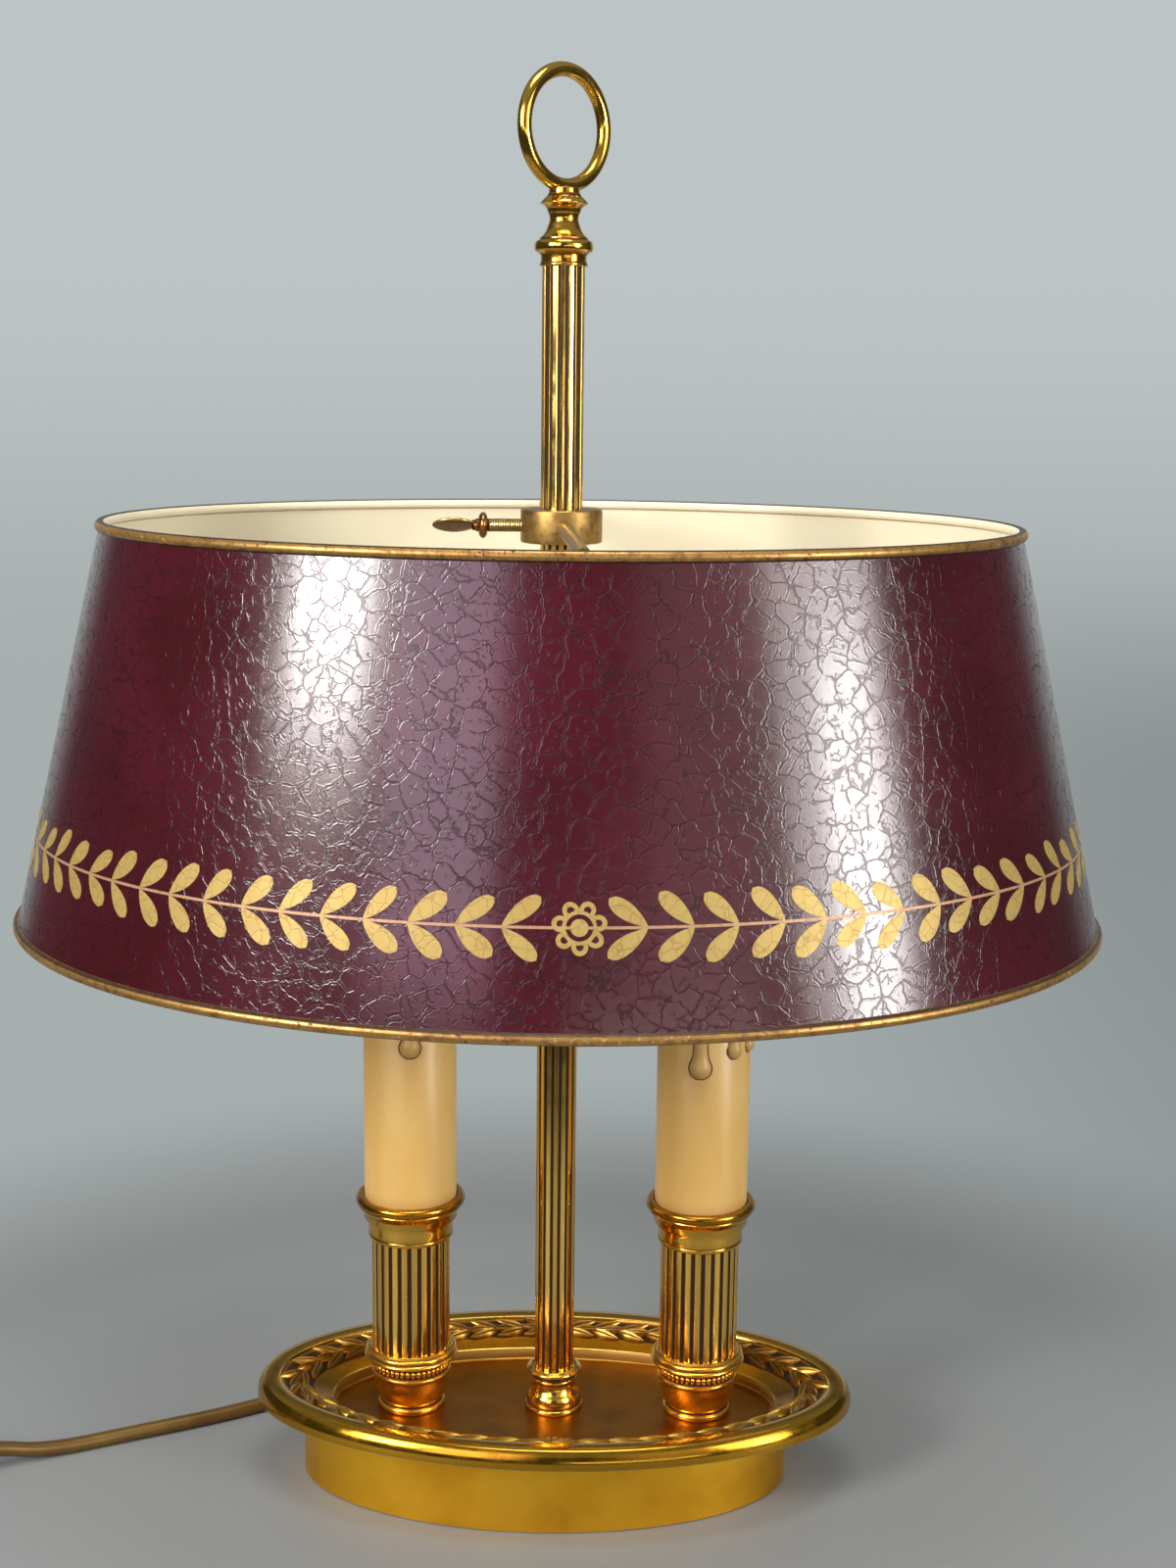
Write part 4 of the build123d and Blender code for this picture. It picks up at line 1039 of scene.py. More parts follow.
# ---------------------------------------------------------------- room
@dataclass
class Room:
    """Floor, backdrop, light and camera."""

    floor_radius: float = 1.0
    fade_from: float = 0.23
    fade_to: float = 0.42
    floor_colour: Colour = (0.235, 0.245, 0.24)
    sky_low: Colour = (0.385, 0.425, 0.425)
    sky_high: Colour = (0.505, 0.55, 0.56)
    fill: float = 0.35
    room: float = 0.13
    ceiling: float = 0.50
    paper_top: float = 0.55
    camera_place: Point = (0.02385, -0.6757, 0.3634)
    heading: float = 1.241
    pitch: float = 10.754
    roll: float = 0.651
    lens: float = 49.5
    warm: Colour = (1.0, 0.985, 0.96)
    aim: Point = (0.0, 0.0, 0.22)

    def build(self) -> None:
        """Sets up everything that isn't part of the lamp."""
        bpy.context.scene.view_settings.view_transform = "Standard"
        self.camera()
        self.world()
        self.floor()
        self.lights()

    def camera(self) -> None:
        """The camera, with its heading, pitch and roll."""
        heading, pitch, roll = (math.radians(a) for a in (self.heading, self.pitch, self.roll))
        forward = Vector((-math.sin(heading) * math.cos(pitch), math.cos(heading) * math.cos(pitch),
                          -math.sin(pitch)))
        right = Vector((math.cos(heading), math.sin(heading), 0.0))
        up = right.cross(forward)
        right, up = (right * math.cos(roll) + up * math.sin(roll), up * math.cos(roll) - right * math.sin(roll))
        data = bpy.data.cameras.new("camera")
        data.lens = self.lens
        data.sensor_width = 36.0
        data.clip_start = 0.02
        camera = add_object("camera", data)
        rotation = Matrix((right, up, -forward)).transposed().to_4x4()
        camera.matrix_world = Matrix.Translation(self.camera_place) @ rotation
        bpy.context.scene.camera = camera

    def world(self) -> None:
        """A pale backdrop for camera, glossy and transmission rays, and a plain fill for the rest.

        Reflected rays find the backdrop dimmer above it and behind the camera, as in a dark room.
        """
        world = bpy.data.worlds.new("backdrop")
        bpy.context.scene.world = world
        graph = Graph(world)
        way = graph.value("ShaderNodeTexCoord", output="Generated")
        back, high = graph.part(way, 1), graph.part(way, 2)
        paper = graph.mix(high.step(-0.14, 0.05), self.sky_low, self.sky_high)
        direct, glossy, through = graph.rays("Camera", "Glossy", "Transmission")
        behind = back.step(0.55, 0.92) * high.step(self.paper_top, self.paper_top - 0.35)
        lit = behind.most(high.step(0.36, 0.62) * self.ceiling).most(self.room)
        # painted shadow: the backdrop low down to the right, behind the lamp, is darkened as the lamp's shadow
        shaded = graph.part(way, 0).step(-0.02, 0.26) * high.step(-0.06, -0.18) * back.step(0.0, 0.5) * 0.32
        seen = graph.value("ShaderNodeBackground", {}, {0: graph.mix(shaded, paper, BLACK), 1: direct.most(lit)})
        fill = graph.value("ShaderNodeBackground", {}, {0: (0.86, 0.93, 1.0), 1: self.fill})
        graph.end("ShaderNodeOutputWorld", graph.value("ShaderNodeMixShader", {}, {
            0: direct.most(glossy).most(through), 1: fill, 2: seen}))

    def floor(self) -> None:
        """A pale floor that fades into the backdrop."""
        blank = Blank()
        bmesh.ops.create_circle(blank.bm, cap_ends=True, segments=96, radius=self.floor_radius)
        mesh = bpy.data.meshes.new("floor")
        blank.bm.to_mesh(mesh)
        blank.bm.free()
        graph = Graph(bpy.data.materials.new("pale_floor"))
        place = graph.place()
        away = graph.value("ShaderNodeVectorMath", {"operation": "LENGTH"}, {
            0: graph.stretch(place, (1.0, 1.0, 0.0))}, 1)
        fade = away.step(self.fade_from / MM, self.fade_to / MM)
        cloth = graph.noise(1.2, 3.0, 0.6)
        colour = graph.mix(graph.noise(300.0, 2.0, 0.5) * 0.25, self.floor_colour,
                           tuple(0.86 * c for c in self.floor_colour))
        base = graph.value("ShaderNodeBsdfPrincipled", {}, {
            "Base Color": colour, "Roughness": 0.62, "Specular IOR Level": 0.35,
            "Normal": graph.bump(cloth, 0.12, 0.4)})
        direct, = graph.rays("Camera")
        behind = graph.part(place, 1).step(0.0, 400.0).most(direct) * (1.0 - self.room) + self.room
        # painted shadow: the floor's glow to the right and behind the lamp is darkened as the lamp's shadow
        shaded = graph.part(place, 0).step(-30.0, 420.0) * graph.part(place, 1).step(-350.0, 50.0) * 0.30
        glow = graph.value("ShaderNodeEmission", {}, {
            "Color": graph.mix(shaded, self.sky_low, BLACK), "Strength": behind})
        mesh.materials.append(graph.end("ShaderNodeOutputMaterial", graph.value("ShaderNodeMixShader", {}, {
            0: fade, 1: base, 2: glow})))
        floor = add_object("floor", mesh)

    def lights(self) -> None:
        """Two soft boxes in front with dimmer ones round them, and weak ones on the walls, far off and above."""
        for name, side, height, away, width, tall, power, colour in (
                ("left_core", -45.0, 0.68, 1.15, 0.30, 0.40, 10.4, self.warm),
                ("left_halo", -45.0, 0.73, 1.17, 0.50, 0.60, 4.8, self.warm),
                ("right_core", 57.0, 0.32, 1.20, 0.26, 0.40, 4.6, self.warm),
                ("right_halo", 55.0, 0.56, 1.22, 0.56, 0.64, 5.6, self.warm),
                ("wall_left", -21.0, 0.70, 1.35, 0.52, 0.80, 3.7, (0.98, 0.80, 1.0)),
                ("wall_right", 28.0, 0.66, 1.35, 0.60, 0.74, 0.65, (1.0, 0.82, 0.87)),
                ("far_window", 19.0, 0.24, 3.00, 1.70, 0.26, 3.2, self.warm),
                ("soft_top", 10.0, 1.90, 0.35, 0.90, 0.70, 13.0, self.warm)):
            data = bpy.data.lights.new(name, "AREA")
            data.shape = "RECTANGLE"
            data.size, data.size_y = width, tall
            data.energy = power
            data.color = colour
            light = add_object(name, data)
            angle = math.radians(side)
            place = Vector((away * math.sin(angle), -away * math.cos(angle), height))
            light.location = place
            light.rotation_euler = (Vector(self.aim) - place).to_track_quat("-Z", "Y").to_euler()
            light.visible_camera = False


# ---------------------------------------------------------------- flex
@dataclass
class Flex:
    """The flex from the bush through the switch to a coil and the plug."""

    radius: float = 2.5
    start: Point = (0.0, 68.6, 9.0)
    lead: tuple[Point, ...] = (
        (0.0, 83.7, 9.0), (-7.5, 96.7, 6.4), (-21.4, 104.7, 3.8), (-37.4, 104.7, 2.5), (-52.8, 97.5, 2.5),
        (-67.0, 79.0, 2.5), (-82.0, 57.0, 2.5), (-98.0, 38.0, 2.5), (-118.0, 24.6, 2.5), (-146.0, 10.3, 2.5),
        (-172.0, -3.6, 2.5), (-188.0, -12.2, 8.0), (-203.0, -20.2, 8.0), (-255.9, -48.4, 8.0))
    tail: tuple[Point, ...] = ((-268.2, -55.0, 8.0), (-284.0, -60.6, 2.5))
    end: tuple[Point, ...] = ((-326.6, 3.97, 12.5), (-316.6, 21.3, 6.85), (-309.6, 33.4, 6.85))
    coil_centre: Spot = (-305.2, -28.0)
    coil_start: float = 276.0
    points_per_turn: int = 12
    stations: tuple[tuple[float, float, float], ...] = (
        (0, 34.5, 2.5), (330, 34.5, 2.5), (360, 29.5, 2.5), (690, 29.5, 2.5), (720, 24.5, 2.5),
        (1050, 24.5, 2.5), (1080, 24.5, 7.5), (1380, 24.5, 7.5), (1410, 29.5, 7.5), (1740, 29.5, 7.5),
        (1770, 34.5, 7.5), (2070, 34.5, 7.5), (2085, 33.0, 11.0), (2100, 29.5, 12.5), (2400, 29.5, 12.5),
        (2430, 34.5, 13.0), (2445, 34.5, 15.6), (2460, 34.5, 15.6), (2490, 34.5, 12.5), (2646, 34.5, 12.5))

    def coil(self) -> list[Point]:
        """The coil's turns, clockwise from above, by the stations' angles, radii and heights.

        Returns:
            Points along the coil.
        """
        points = []
        last = self.stations[-1][0]
        step = 360.0 / self.points_per_turn
        for angle in [step * n for n in range(int(last / step) + 1)] + [last]:
            for (a, r0, z0), (b, r1, z1) in zip(self.stations, self.stations[1:]):
                if a <= angle <= b:
                    t = (angle - a) / (b - a)
                    radius, height = r0 + t * (r1 - r0), z0 + t * (z1 - z0)
            turn = math.radians(self.coil_start - angle)
            points.append((self.coil_centre[0] + radius * math.cos(turn),
                           self.coil_centre[1] + radius * math.sin(turn), height))
        return points

    def build(self) -> None:
        points = [self.start, *self.lead, *self.tail, *self.coil(), *self.end]
        curve = bpy.data.curves.new("flex", "CURVE")
        curve.dimensions = "3D"
        spline = curve.splines.new("NURBS")
        spline.points.add(len(points) - 1)
        for point, place in zip(spline.points, points):
            point.co = (*(c * MM for c in place), 1.0)
        spline.order_u = 3
        spline.use_endpoint_u = True
        spline.resolution_u = 8
        curve.bevel_depth = self.radius * MM
        curve.bevel_resolution = 5
        curve.use_fill_caps = True
        curve.materials.append(FLEX.material())
        flex = settle(add_object("flex", curve), "base", ["cord_lead", "cord_tail", "cord_coil", "cord_end"])
        on_it = [refine(node, f"{node}_shape", finish, body) for node, finish, body in (
            ("switch_lower", SWITCH, "base"), ("switch_upper", SWITCH, "base"),
            ("switch_rocker", SWITCH, "switch_rocker"), ("plug_relief", SWITCH, "base"),
            ("plug_body", SWITCH, "base"), ("plug_pins", NICKEL, "base"))]


# ---------------------------------------------------------------- shade
@dataclass
class Shade:
    """Oval cone of tole with wired edges, a painted vine and the clamp that carries it."""

    body: str = "shade_carriage"
    low: Point = (170.7, 138.6, 193.6)
    high: Point = (142.0, 115.4, 316.9)
    sheet: float = 0.6
    wire: float = 1.7
    facets: int = 256
    vine_height: float = 222.3
    vine_line: float = 0.75
    arcs: int = 720
    paint: float = 0.06
    leaf_length: float = 12.7
    leaf_width: float = 4.9
    leaf_lean: float = 43.0
    flower_at: float = 10.3
    flower_gap: float = 19.0
    petals: int = 7
    first_left: float = -9.9
    first_right: float = 28.1
    leaves_per_side: int = 36
    seed: int = 7
    clamp_bore: float = 6.6
    clamp_radius: float = 12.75
    clamp_half: float = 5.2
    thread_pitch: float = 0.75
    thread_depth: float = 0.32
    thread_radius: float = 2.2

    def axes(self, height: float) -> Spot:
        """Half length and half width of the cone at a height."""
        t = (height - self.low[2]) / (self.high[2] - self.low[2])
        return (self.low[0] + t * (self.high[0] - self.low[0]), self.low[1] + t * (self.high[1] - self.low[1]))

    def wrap(self, place: Vector) -> Vector:
        """Moves a point of the drum to the cone."""
        return on_oval(place, *self.axes(place.z))

    def build(self) -> None:
        """Builds shell, wired edges, vine, clamp and thumb screw."""
        self.shell()
        self.edge("upper_edge", "shade_top_rim", self.high, 1)
        self.edge("lower_edge", "shade_bottom_rim", self.low, -1)
        self.vine()
        self.clamp()
        self.screw()

    def shell(self) -> None:
        """The sheet, lacquered outside and painted inside."""
        half = self.sheet / 2
        z0, z1 = self.low[2], self.high[2]
        rows = [z0 + (z1 - z0) * n / 12 for n in range(13)]
        outline = [(DRUM + half, z) for z in rows] + [(DRUM - half, z) for z in reversed(rows)]
        blank = Blank().turn(outline, self.facets).mark("inside", lambda co: float(reach(co) < DRUM))
        blank.bend(self.wrap).finish("shade_skin", LACQUER, ["shade_shell"], self.body)

    def edge(self, name: str, node: str, oval: Point, way: int) -> None:
        """A wired edge, rolled over the sheet.

        Args:
            name: the piece's name.
            node: the CAD node that it stands for.
            oval: its half length, half width and height.
            way: 1 where it looks up, -1 where it looks down.
        """
        lining, crown, seam = 1.25, 1.4, -1.1
        blank = Blank().turn(wire(DRUM, oval[2], self.wire, 15), self.facets)
        blank.mark("inside", lambda co: float(reach(co) < DRUM - 0.1 and abs(co.z - oval[2]) < lining))
        # hollow mark: dark on the wire's crown, and a painted shadow on the outer side where the roll meets the sheet
        blank.mark("hollow", lambda co: 0.9 if way * (co.z - oval[2]) > crown or (
            reach(co) > DRUM and way * (co.z - oval[2]) < seam) else 0.0)
        blank.bend(lambda co: on_oval(co, *oval[:2])).finish(name, GILT, [node], self.body)

    def turns(self) -> list[Spot]:
        """How far the vine has run for each angle, from the front, positive to the right.

        Returns:
            Length along the vine and angle.
        """
        a, b = self.axes(self.vine_height)
        table, length = [(0.0, 0.0)], 0.0
        for n in range(1, self.arcs + 1):
            t = math.pi * 2 * n / self.arcs
            middle = t - math.pi / self.arcs
            length += math.hypot(a * math.cos(middle), b * math.sin(middle)) * math.pi * 2 / self.arcs
            table.append((length, t))
        return table

    def on_skin(self, table: list[Spot]) -> Callable[[Vector], Vector]:
        """The rule that lays a flat drawing on the cone.

        Args:
            table: length along the vine and angle.

        Returns:
            A rule from (along, up, out) to a place.
        """
        lengths = [length for length, _ in table]
        slope = math.hypot(self.low[0] - self.high[0], self.high[2] - self.low[2]) / (self.high[2] - self.low[2])

        def lay(place: Vector) -> Vector:
            """Lays one point.

            Args:
                place: along, up and out.

            Returns:
                The point's place.
            """
            along = place.x % lengths[-1]
            index = min(bisect_right(lengths, along), self.arcs)
            (s0, t0), (s1, t1) = table[index - 1:index + 1]
            t = t0 + (t1 - t0) * (along - s0) / (s1 - s0)
            height = self.vine_height + place.y / slope
            a, b = self.axes(height)
            out = self.sheet / 2 + place.z
            return Vector(((a + out) * math.sin(t), -(b + out) * math.cos(t), height))

        return lay

    def leaf(self, turn: float, length: float, width: float) -> Blank:
        """A flat leaf from its foot, fullest past the middle.

        Args:
            turn: where it points, in degrees.
            length: from foot to tip.
            width: where it is fullest.

        Returns:
            The leaf.
        """
        blank = Blank().sheet(15, 3).bend(lambda co: Vector((
            co.x * length,
            co.y * width * co.x ** 0.9 * max(0.0, 1 - co.x) ** 0.55 / 0.382 + 0.14 * co.y, 0.0)))
        return blank.thicken(self.paint).move(placed(turn=turn))

    def flower(self) -> Blank:
        """A rosette: a disc, a ring and scalloped petals.

        Returns:
            The rosette, flat.
        """
        groove_in, groove_out = 2.4, 3.6
        blank = Blank().add(plate(2.35, 0.0, self.paint)).add(plate(4.6, 3.55, self.paint))
        for n in range(self.petals):
            petal = plate(2.35, 1.05, self.paint + 0.004 * n).move(Matrix.Diagonal((1.0, 0.93, 1.0, 1.0)))
            blank.add(petal, placed(turn=360 / self.petals * n + 14) @ placed(x=5.05))
        return blank.bend(lambda co: co * (groove_out / reach(co)) if groove_in <= reach(co) <= groove_out else co)

    def vine(self) -> None:
        """A thin line with pairs of leaves that all point to the front flower, and one more flower behind."""
        dice = random.Random(self.seed)
        table = self.turns()
        total = table[-1][0]
        behind = self.flower_at + total / 2
        drawing = Blank()
        for centre in (self.flower_at, behind):
            drawing.add(self.flower(), placed(x=centre + total))
        for first, last, forward in ((self.first_left, behind - total + self.flower_gap, True),
                                     (self.first_right, behind - self.flower_gap, False)):
            for n in range(self.leaves_per_side):
                at = first + (last - first) * n / (self.leaves_per_side - 1) + dice.uniform(-0.4, 0.4) * (n > 0)
                for up in (1, -1):
                    turn = up * (self.leaf_lean + dice.uniform(-7, 5))
                    leaf = self.leaf(turn if forward else 180 - turn, self.leaf_length + dice.uniform(-0.9, 0.6),
                                     self.leaf_width + dice.uniform(-0.5, 0.5))
                    drawing.add(leaf, placed(x=at + total, y=0.3 * up))
        drawing.bend(self.on_skin(table)).finish("painted_leaves", GOLD, body=self.body)
        foot, face = DRUM + self.sheet / 2 - 0.05, DRUM + self.sheet / 2 + self.paint * 0.8
        low, high = self.vine_height - self.vine_line / 2, self.vine_height + self.vine_line / 2
        line = Blank().turn([(foot, low), (face, low), (face, high), (foot, high)], self.facets)
        line.bend(self.wrap).finish("painted_line", LINE, body=self.body)

    def clamp(self) -> None:
        """The clamp round the stem and its two arms."""
        z = self.high[2] + 0.1
        low, high = z - self.clamp_half, z + self.clamp_half
        block = Blank().turn([(self.clamp_bore, low), (self.clamp_radius, low), (self.clamp_radius, high),
                              (self.clamp_bore, high)])
        block.soften(0.55, 3).stain(0.8, 2).finish("clamp_ring", CLAMP, ["clamp_block"], self.body)
        for node, name in (("arm_front", "front_arm"), ("arm_back", "back_arm")):
            refine(node, name, CLAMP, self.body)

    def screw(self) -> None:
        """The thumb screw: a real thread, a turned bead, a neck and an oval paddle."""
        start, thread_end, bead_end, neck_end = 6.8, 23.05, 25.85, 27.85
        pitch, crest = self.thread_pitch, self.thread_radius
        root = crest - self.thread_depth
        core = Profile(0.0, start).to((1.6, start))
        for n in range(int((thread_end - start - 0.4) / pitch)):
            base = start + 0.2 + n * pitch
            core.to((root, base), (crest, base + 0.36 * pitch), (crest, base + 0.5 * pitch),
                    (root, base + 0.86 * pitch))
        core.to((2.0, thread_end)).bead(2.05, (2.0, bead_end), 10).to((2.15, bead_end + 0.4))
        core.bow((1.55, bead_end + 1.5), (1.9, neck_end)).to((0.0, neck_end + 0.3))
        paddle = Blank().ball(40, 24).bend(lambda co: Vector((
            math.copysign(abs(co.x) ** 0.8, co.x) * 1.15 * (0.75 + 0.25 * abs(co.y) ** 2), co.y * 5.5, co.z * 6.7)))
        screw = Blank().turn(core.points, 40, closed=False).add(paddle, placed(z=neck_end + 5.7, turn=24))
        lying = placed(z=self.high[2] + 0.1, turn=5) @ Matrix.Rotation(math.radians(-90), 4, "Y")
        screw.stain(0.5, 2).move(lying).finish("thumb_screw_shape", SCREW, ["thumb_screw"], "thumb_screw")


# ---------------------------------------------------------------- stem and finial
@dataclass
class Stem:
    """Collar, fluted tube and finial with its ring."""

    tube: FlutedTube = FlutedTube(
        radius=6.5, bore=4.6, flutes=16, groove=0.44, half=0.225, turn=13.0, bottom=34.2, top=398.9)
    finial_foot: float = 395.7
    ring_centre: float = 436.5
    ring_radius: float = 16.9
    ring_wire: float = 2.2
    ring_turn: float = 47.0

    def build(self) -> None:
        """Builds the stem from the tray up."""
        self.collar()
        self.tube.build().finish("fluted_stem", STEM_BRASS, ["stem_tube"], sharp=34)
        self.finial()

    def collar(self) -> None:
        """The bell-footed collar."""
        shape = Profile(3.2, 0.0, TRAY_FLOOR).to((9.15, 0.0)).bead(0.55, (9.15, 1.7), 6).to((8.75, 1.95), (9.3, 2.6))
        shape.bow((8.95, 4.6), (8.2, 6.0)).bow((7.3, 7.6), (6.9, 9.6)).to((7.3, 10.1)).bead(0.5, (7.3, 11.3), 6)
        shape.to((7.0, 11.7)).bow((7.35, 12.5), (8.4, 12.95), 6).bead(0.72, (8.4, 14.3))
        shape.to((7.75, 14.8), (6.52, 14.8), (6.52, 12.6), (3.2, 12.6))
        Blank().turn(shape.points).soften(0.12).stain().finish("stem_foot", POLISHED, ["stem_collar"])

    def finial(self) -> None:
        """Skirt, bead, waist and flange under a plain ring."""
        shape = Profile(0.0, 3.2, self.finial_foot).to((6.52, 3.2), (6.52, 0.0), (7.2, 0.0)).bead(0.28, (7.2, 1.0), 5)
        shape.to((7.05, 1.2), (7.05, 3.4), (7.35, 3.7), (8.2, 4.2)).bead(0.95, (8.1, 7.6), 10)
        shape.to((7.4, 7.9), (7.4, 8.5)).bow((5.9, 9.9), (5.0, 12.0), 10).bow((4.45, 14.2), (5.1, 16.2))
        shape.bow((5.7, 17.6), (7.1, 18.4), 6).to((7.4, 18.7), (7.1, 19.1), (5.6, 20.6))
        shape.bow((4.95, 21.2), (4.75, 22.4), 6).to((4.7, 23.3), (0.0, 23.3))
        Blank().turn(shape.points, closed=False).soften(0.10).stain().finish(
            "finial_shape", POLISHED, ["finial_baluster"])
        upright = placed(z=self.ring_centre, turn=self.ring_turn) @ Matrix.Rotation(math.radians(90), 4, "X")
        Blank().turn(wire(self.ring_radius, 0.0, self.ring_wire, 10), 256).move(upright).finish(
            "lifting_ring", POLISHED, ["finial_ring"])


# ---------------------------------------------------------------- candles
@dataclass(frozen=True)
class WaxRun:
    """A run of wax down a sleeve: its angle, its lower end, its drop's radius and its width."""

    angle: float
    low: float
    drop: float
    width: float
    axis: float = 15.0
    seam_radius: float = 15.26
    seam_turn: float = 0.028
    seam_drop: float = 0.45

    def build(self, top: float) -> Blank:
        """The run, from the sleeve's top down.

        Args:
            top: the sleeve's top.

        Returns:
            The run in its place on the sleeve.
        """
        middle, half = (self.low + top) / 2, (top - self.low) / 2

        def draw(co: Vector) -> Vector:
            """Draws a ball out to a run with a drop at its lower end.

            Args:
                co: a point of the ball.

            Returns:
                The point's place in the run.
            """
            z = middle + co.z * half
            down = (z - (middle - half)) / self.drop
            blunt = math.sqrt(max(0.0, 1 - (1 - down) ** 2)) if down < 1 else 1.0
            slim = self.width / 2 + (self.drop - self.width / 2) * math.exp(-max(0.0, down - 1) ** 2 / 0.55)
            end = min(1.0, math.sqrt(max(0.0, (middle + half - z) / 1.5)))
            size = slim * blunt * end / reach(co) if reach(co) > 1e-6 else 0.0
            return Vector((max(co.x * size * 0.85, -0.6), co.y * size, z))

        return Blank().ball(20, 40).bend(draw).move(placed(turn=self.angle) @ placed(x=self.axis))

    def spread(self, co: Vector) -> Vector:
        """Presses a point of the run flat on the sleeve and a little wider, as the painted shadow round it.

        Args:
            co: the point.

        Returns:
            The point's new place.
        """
        turn = math.atan2(co.y, co.x) - math.radians(self.angle)
        turn = math.atan2(math.sin(turn), math.cos(turn))
        wider = turn + math.copysign(min(abs(turn) * 2.0, self.seam_turn), turn) + math.radians(self.angle)
        radius = min(reach(co), self.seam_radius)
        height = co.z - self.seam_drop * math.exp(-max(0.0, co.z - self.low) / 1.5)
        return Vector((radius * math.cos(wider), radius * math.sin(wider), height))


@dataclass
class Candle:
    """One candle: cup with a beaded band, fluted column, capital, sleeve with wax runs and its lamp."""

    side: Side
    runs: tuple[WaxRun, ...]
    column: FlutedTube = FlutedTube(
        radius=12.9, bore=10.7, flutes=24, groove=0.576, half=0.235, turn=3.7, bottom=43.6, top=83.6)
    beads: int = 44
    bead_radius: float = 0.84
    bead_ring: float = 12.62
    bead_height: float = 15.35
    sleeve_radius: float = 15.2
    sleeve_bore: float = 14.1
    sleeve_foot: float = 5.2
    sleeve_top: float = 89.2

    def put(self, blank: Blank, name: str, finish: Finish, node: str, sharp: float = 50.0) -> None:
        """Finishes a piece on the candle's axis; its name and its CAD node's have the side in the braces."""
        blank.move(self.side.place).finish(name.format(self.side.value), finish, [node.format(self.side.value)],
                                           sharp=sharp)

    def build(self) -> None:
        """Builds the candle from the tray up."""
        self.cup()
        self.put(self.column.build(), "fluted_column_{}", COLUMN_BRASS, "column_{}", 34)
        self.capital()
        self.sleeve()

    def cup(self) -> None:
        """The turned urn under the column with its ring of beads."""
        shape = Profile(5.1, 0.0, TRAY_FLOOR).to((10.9, 0.0)).bead(0.45, (10.9, 1.9), 6).to((10.35, 2.15), (10.35, 2.7))
        shape.bow((11.9, 6.4), (12.55, 11.6), 12).to((12.9, 12.0)).bead(0.3, (12.9, 13.2), 5)
        shape.to((12.45, 13.5), (12.45, 17.2), (12.8, 17.45), (14.4, 17.8)).bead(0.95, (14.9, 19.3))
        shape.to((14.75, 19.5)).bead(0.7, (14.1, 21.0), 6)
        shape.to((13.6, 21.8), (10.6, 21.8), (10.6, 24.8), (8.65, 24.8), (8.65, 19.8), (5.1, 19.8))
        neck_radius, neck_low, neck_high = 12.5, TRAY_FLOOR + 13.3, TRAY_FLOOR + 17.4
        cup = Blank().turn(shape.points).soften(0.10).stain()
        cup.mark("hollow", lambda co: 0.85 if reach(co) < neck_radius and neck_low < co.z < neck_high else 0.0)
        bead = Blank()
        bmesh.ops.create_icosphere(bead.bm, subdivisions=2, radius=self.bead_radius)
        bead.move(Matrix.Diagonal((0.8, 0.98, 1.45, 1.0)))
        for n in range(self.beads):
            cup.add(bead, placed(turn=360 / self.beads * n) @ placed(x=self.bead_ring, z=TRAY_FLOOR + self.bead_height))
        self.put(cup, "cup_{}", CUP_BRASS, "candle_cup_{}")

    def capital(self) -> None:
        """Skirt, hollow neck and rolled lip."""
        seat, edge, top = self.column.top + self.sleeve_foot, self.column.top - 1.5, self.column.top + 13.0
        lip = top - 1.9
        shape = Profile(12.95, edge).to((13.7, edge)).bead(0.35, (13.85, edge + 1.5), 5)
        shape.to((13.95, edge + 1.9), (14.0, edge + 4.2)).bow((14.5, edge + 6.9), (15.6, edge + 9.0))
        shape.bow((16.6, edge + 10.2), (17.2, lip - 1.75), 6).to((17.3, lip - 1.5), (17.05, lip - 1.2))
        shape.bead(1.1, (16.9, top - 0.15), 10).to((15.9, top - 0.1), (15.4, top - 0.6), (15.4, seat))
        shape.to((5.1, seat), (5.1, self.column.top), (12.95, self.column.top))
        capital = Blank().turn(shape.points).soften(0.10).stain()
        capital.mark("dull", lambda co: 0.75 if co.z > lip - 1.3 else 0.0)
        self.put(capital, "capital_{}_shape", POLISHED, "capital_{}")

    def sleeve(self) -> None:
        """The sleeve with its wax runs, grown together; the runs are tinted darker, with a painted shadow where they
        lie flat round each.
        """
        bottom, top = self.column.top + self.sleeve_foot, self.column.top + self.sleeve_top
        run_from, run_pale, run_height = 15.21, 15.95, 0.6
        sleeve = Blank().turn([(self.sleeve_radius, bottom), (self.sleeve_radius, top - 0.4), (14.9, top),
                               (14.3, top), (self.sleeve_bore, top - 0.3), (self.sleeve_bore, bottom)])
        for run in self.runs:
            wax = run.build(top)
            sleeve.add(wax)
            sleeve.add(wax.bend(run.spread))
        # hollow mark: the runs take a darker tint, and where the flattened copy lies on the sleeve a painted shadow
        # rings each run
        sleeve.stain(0.8).mark("hollow", lambda co: max(0.24, min(1.0, (run_pale - reach(co)) / run_height))
                               if reach(co) > run_from else 0.0)
        self.put(sleeve, "sleeve_{}_shape", WAX, "sleeve_{}")


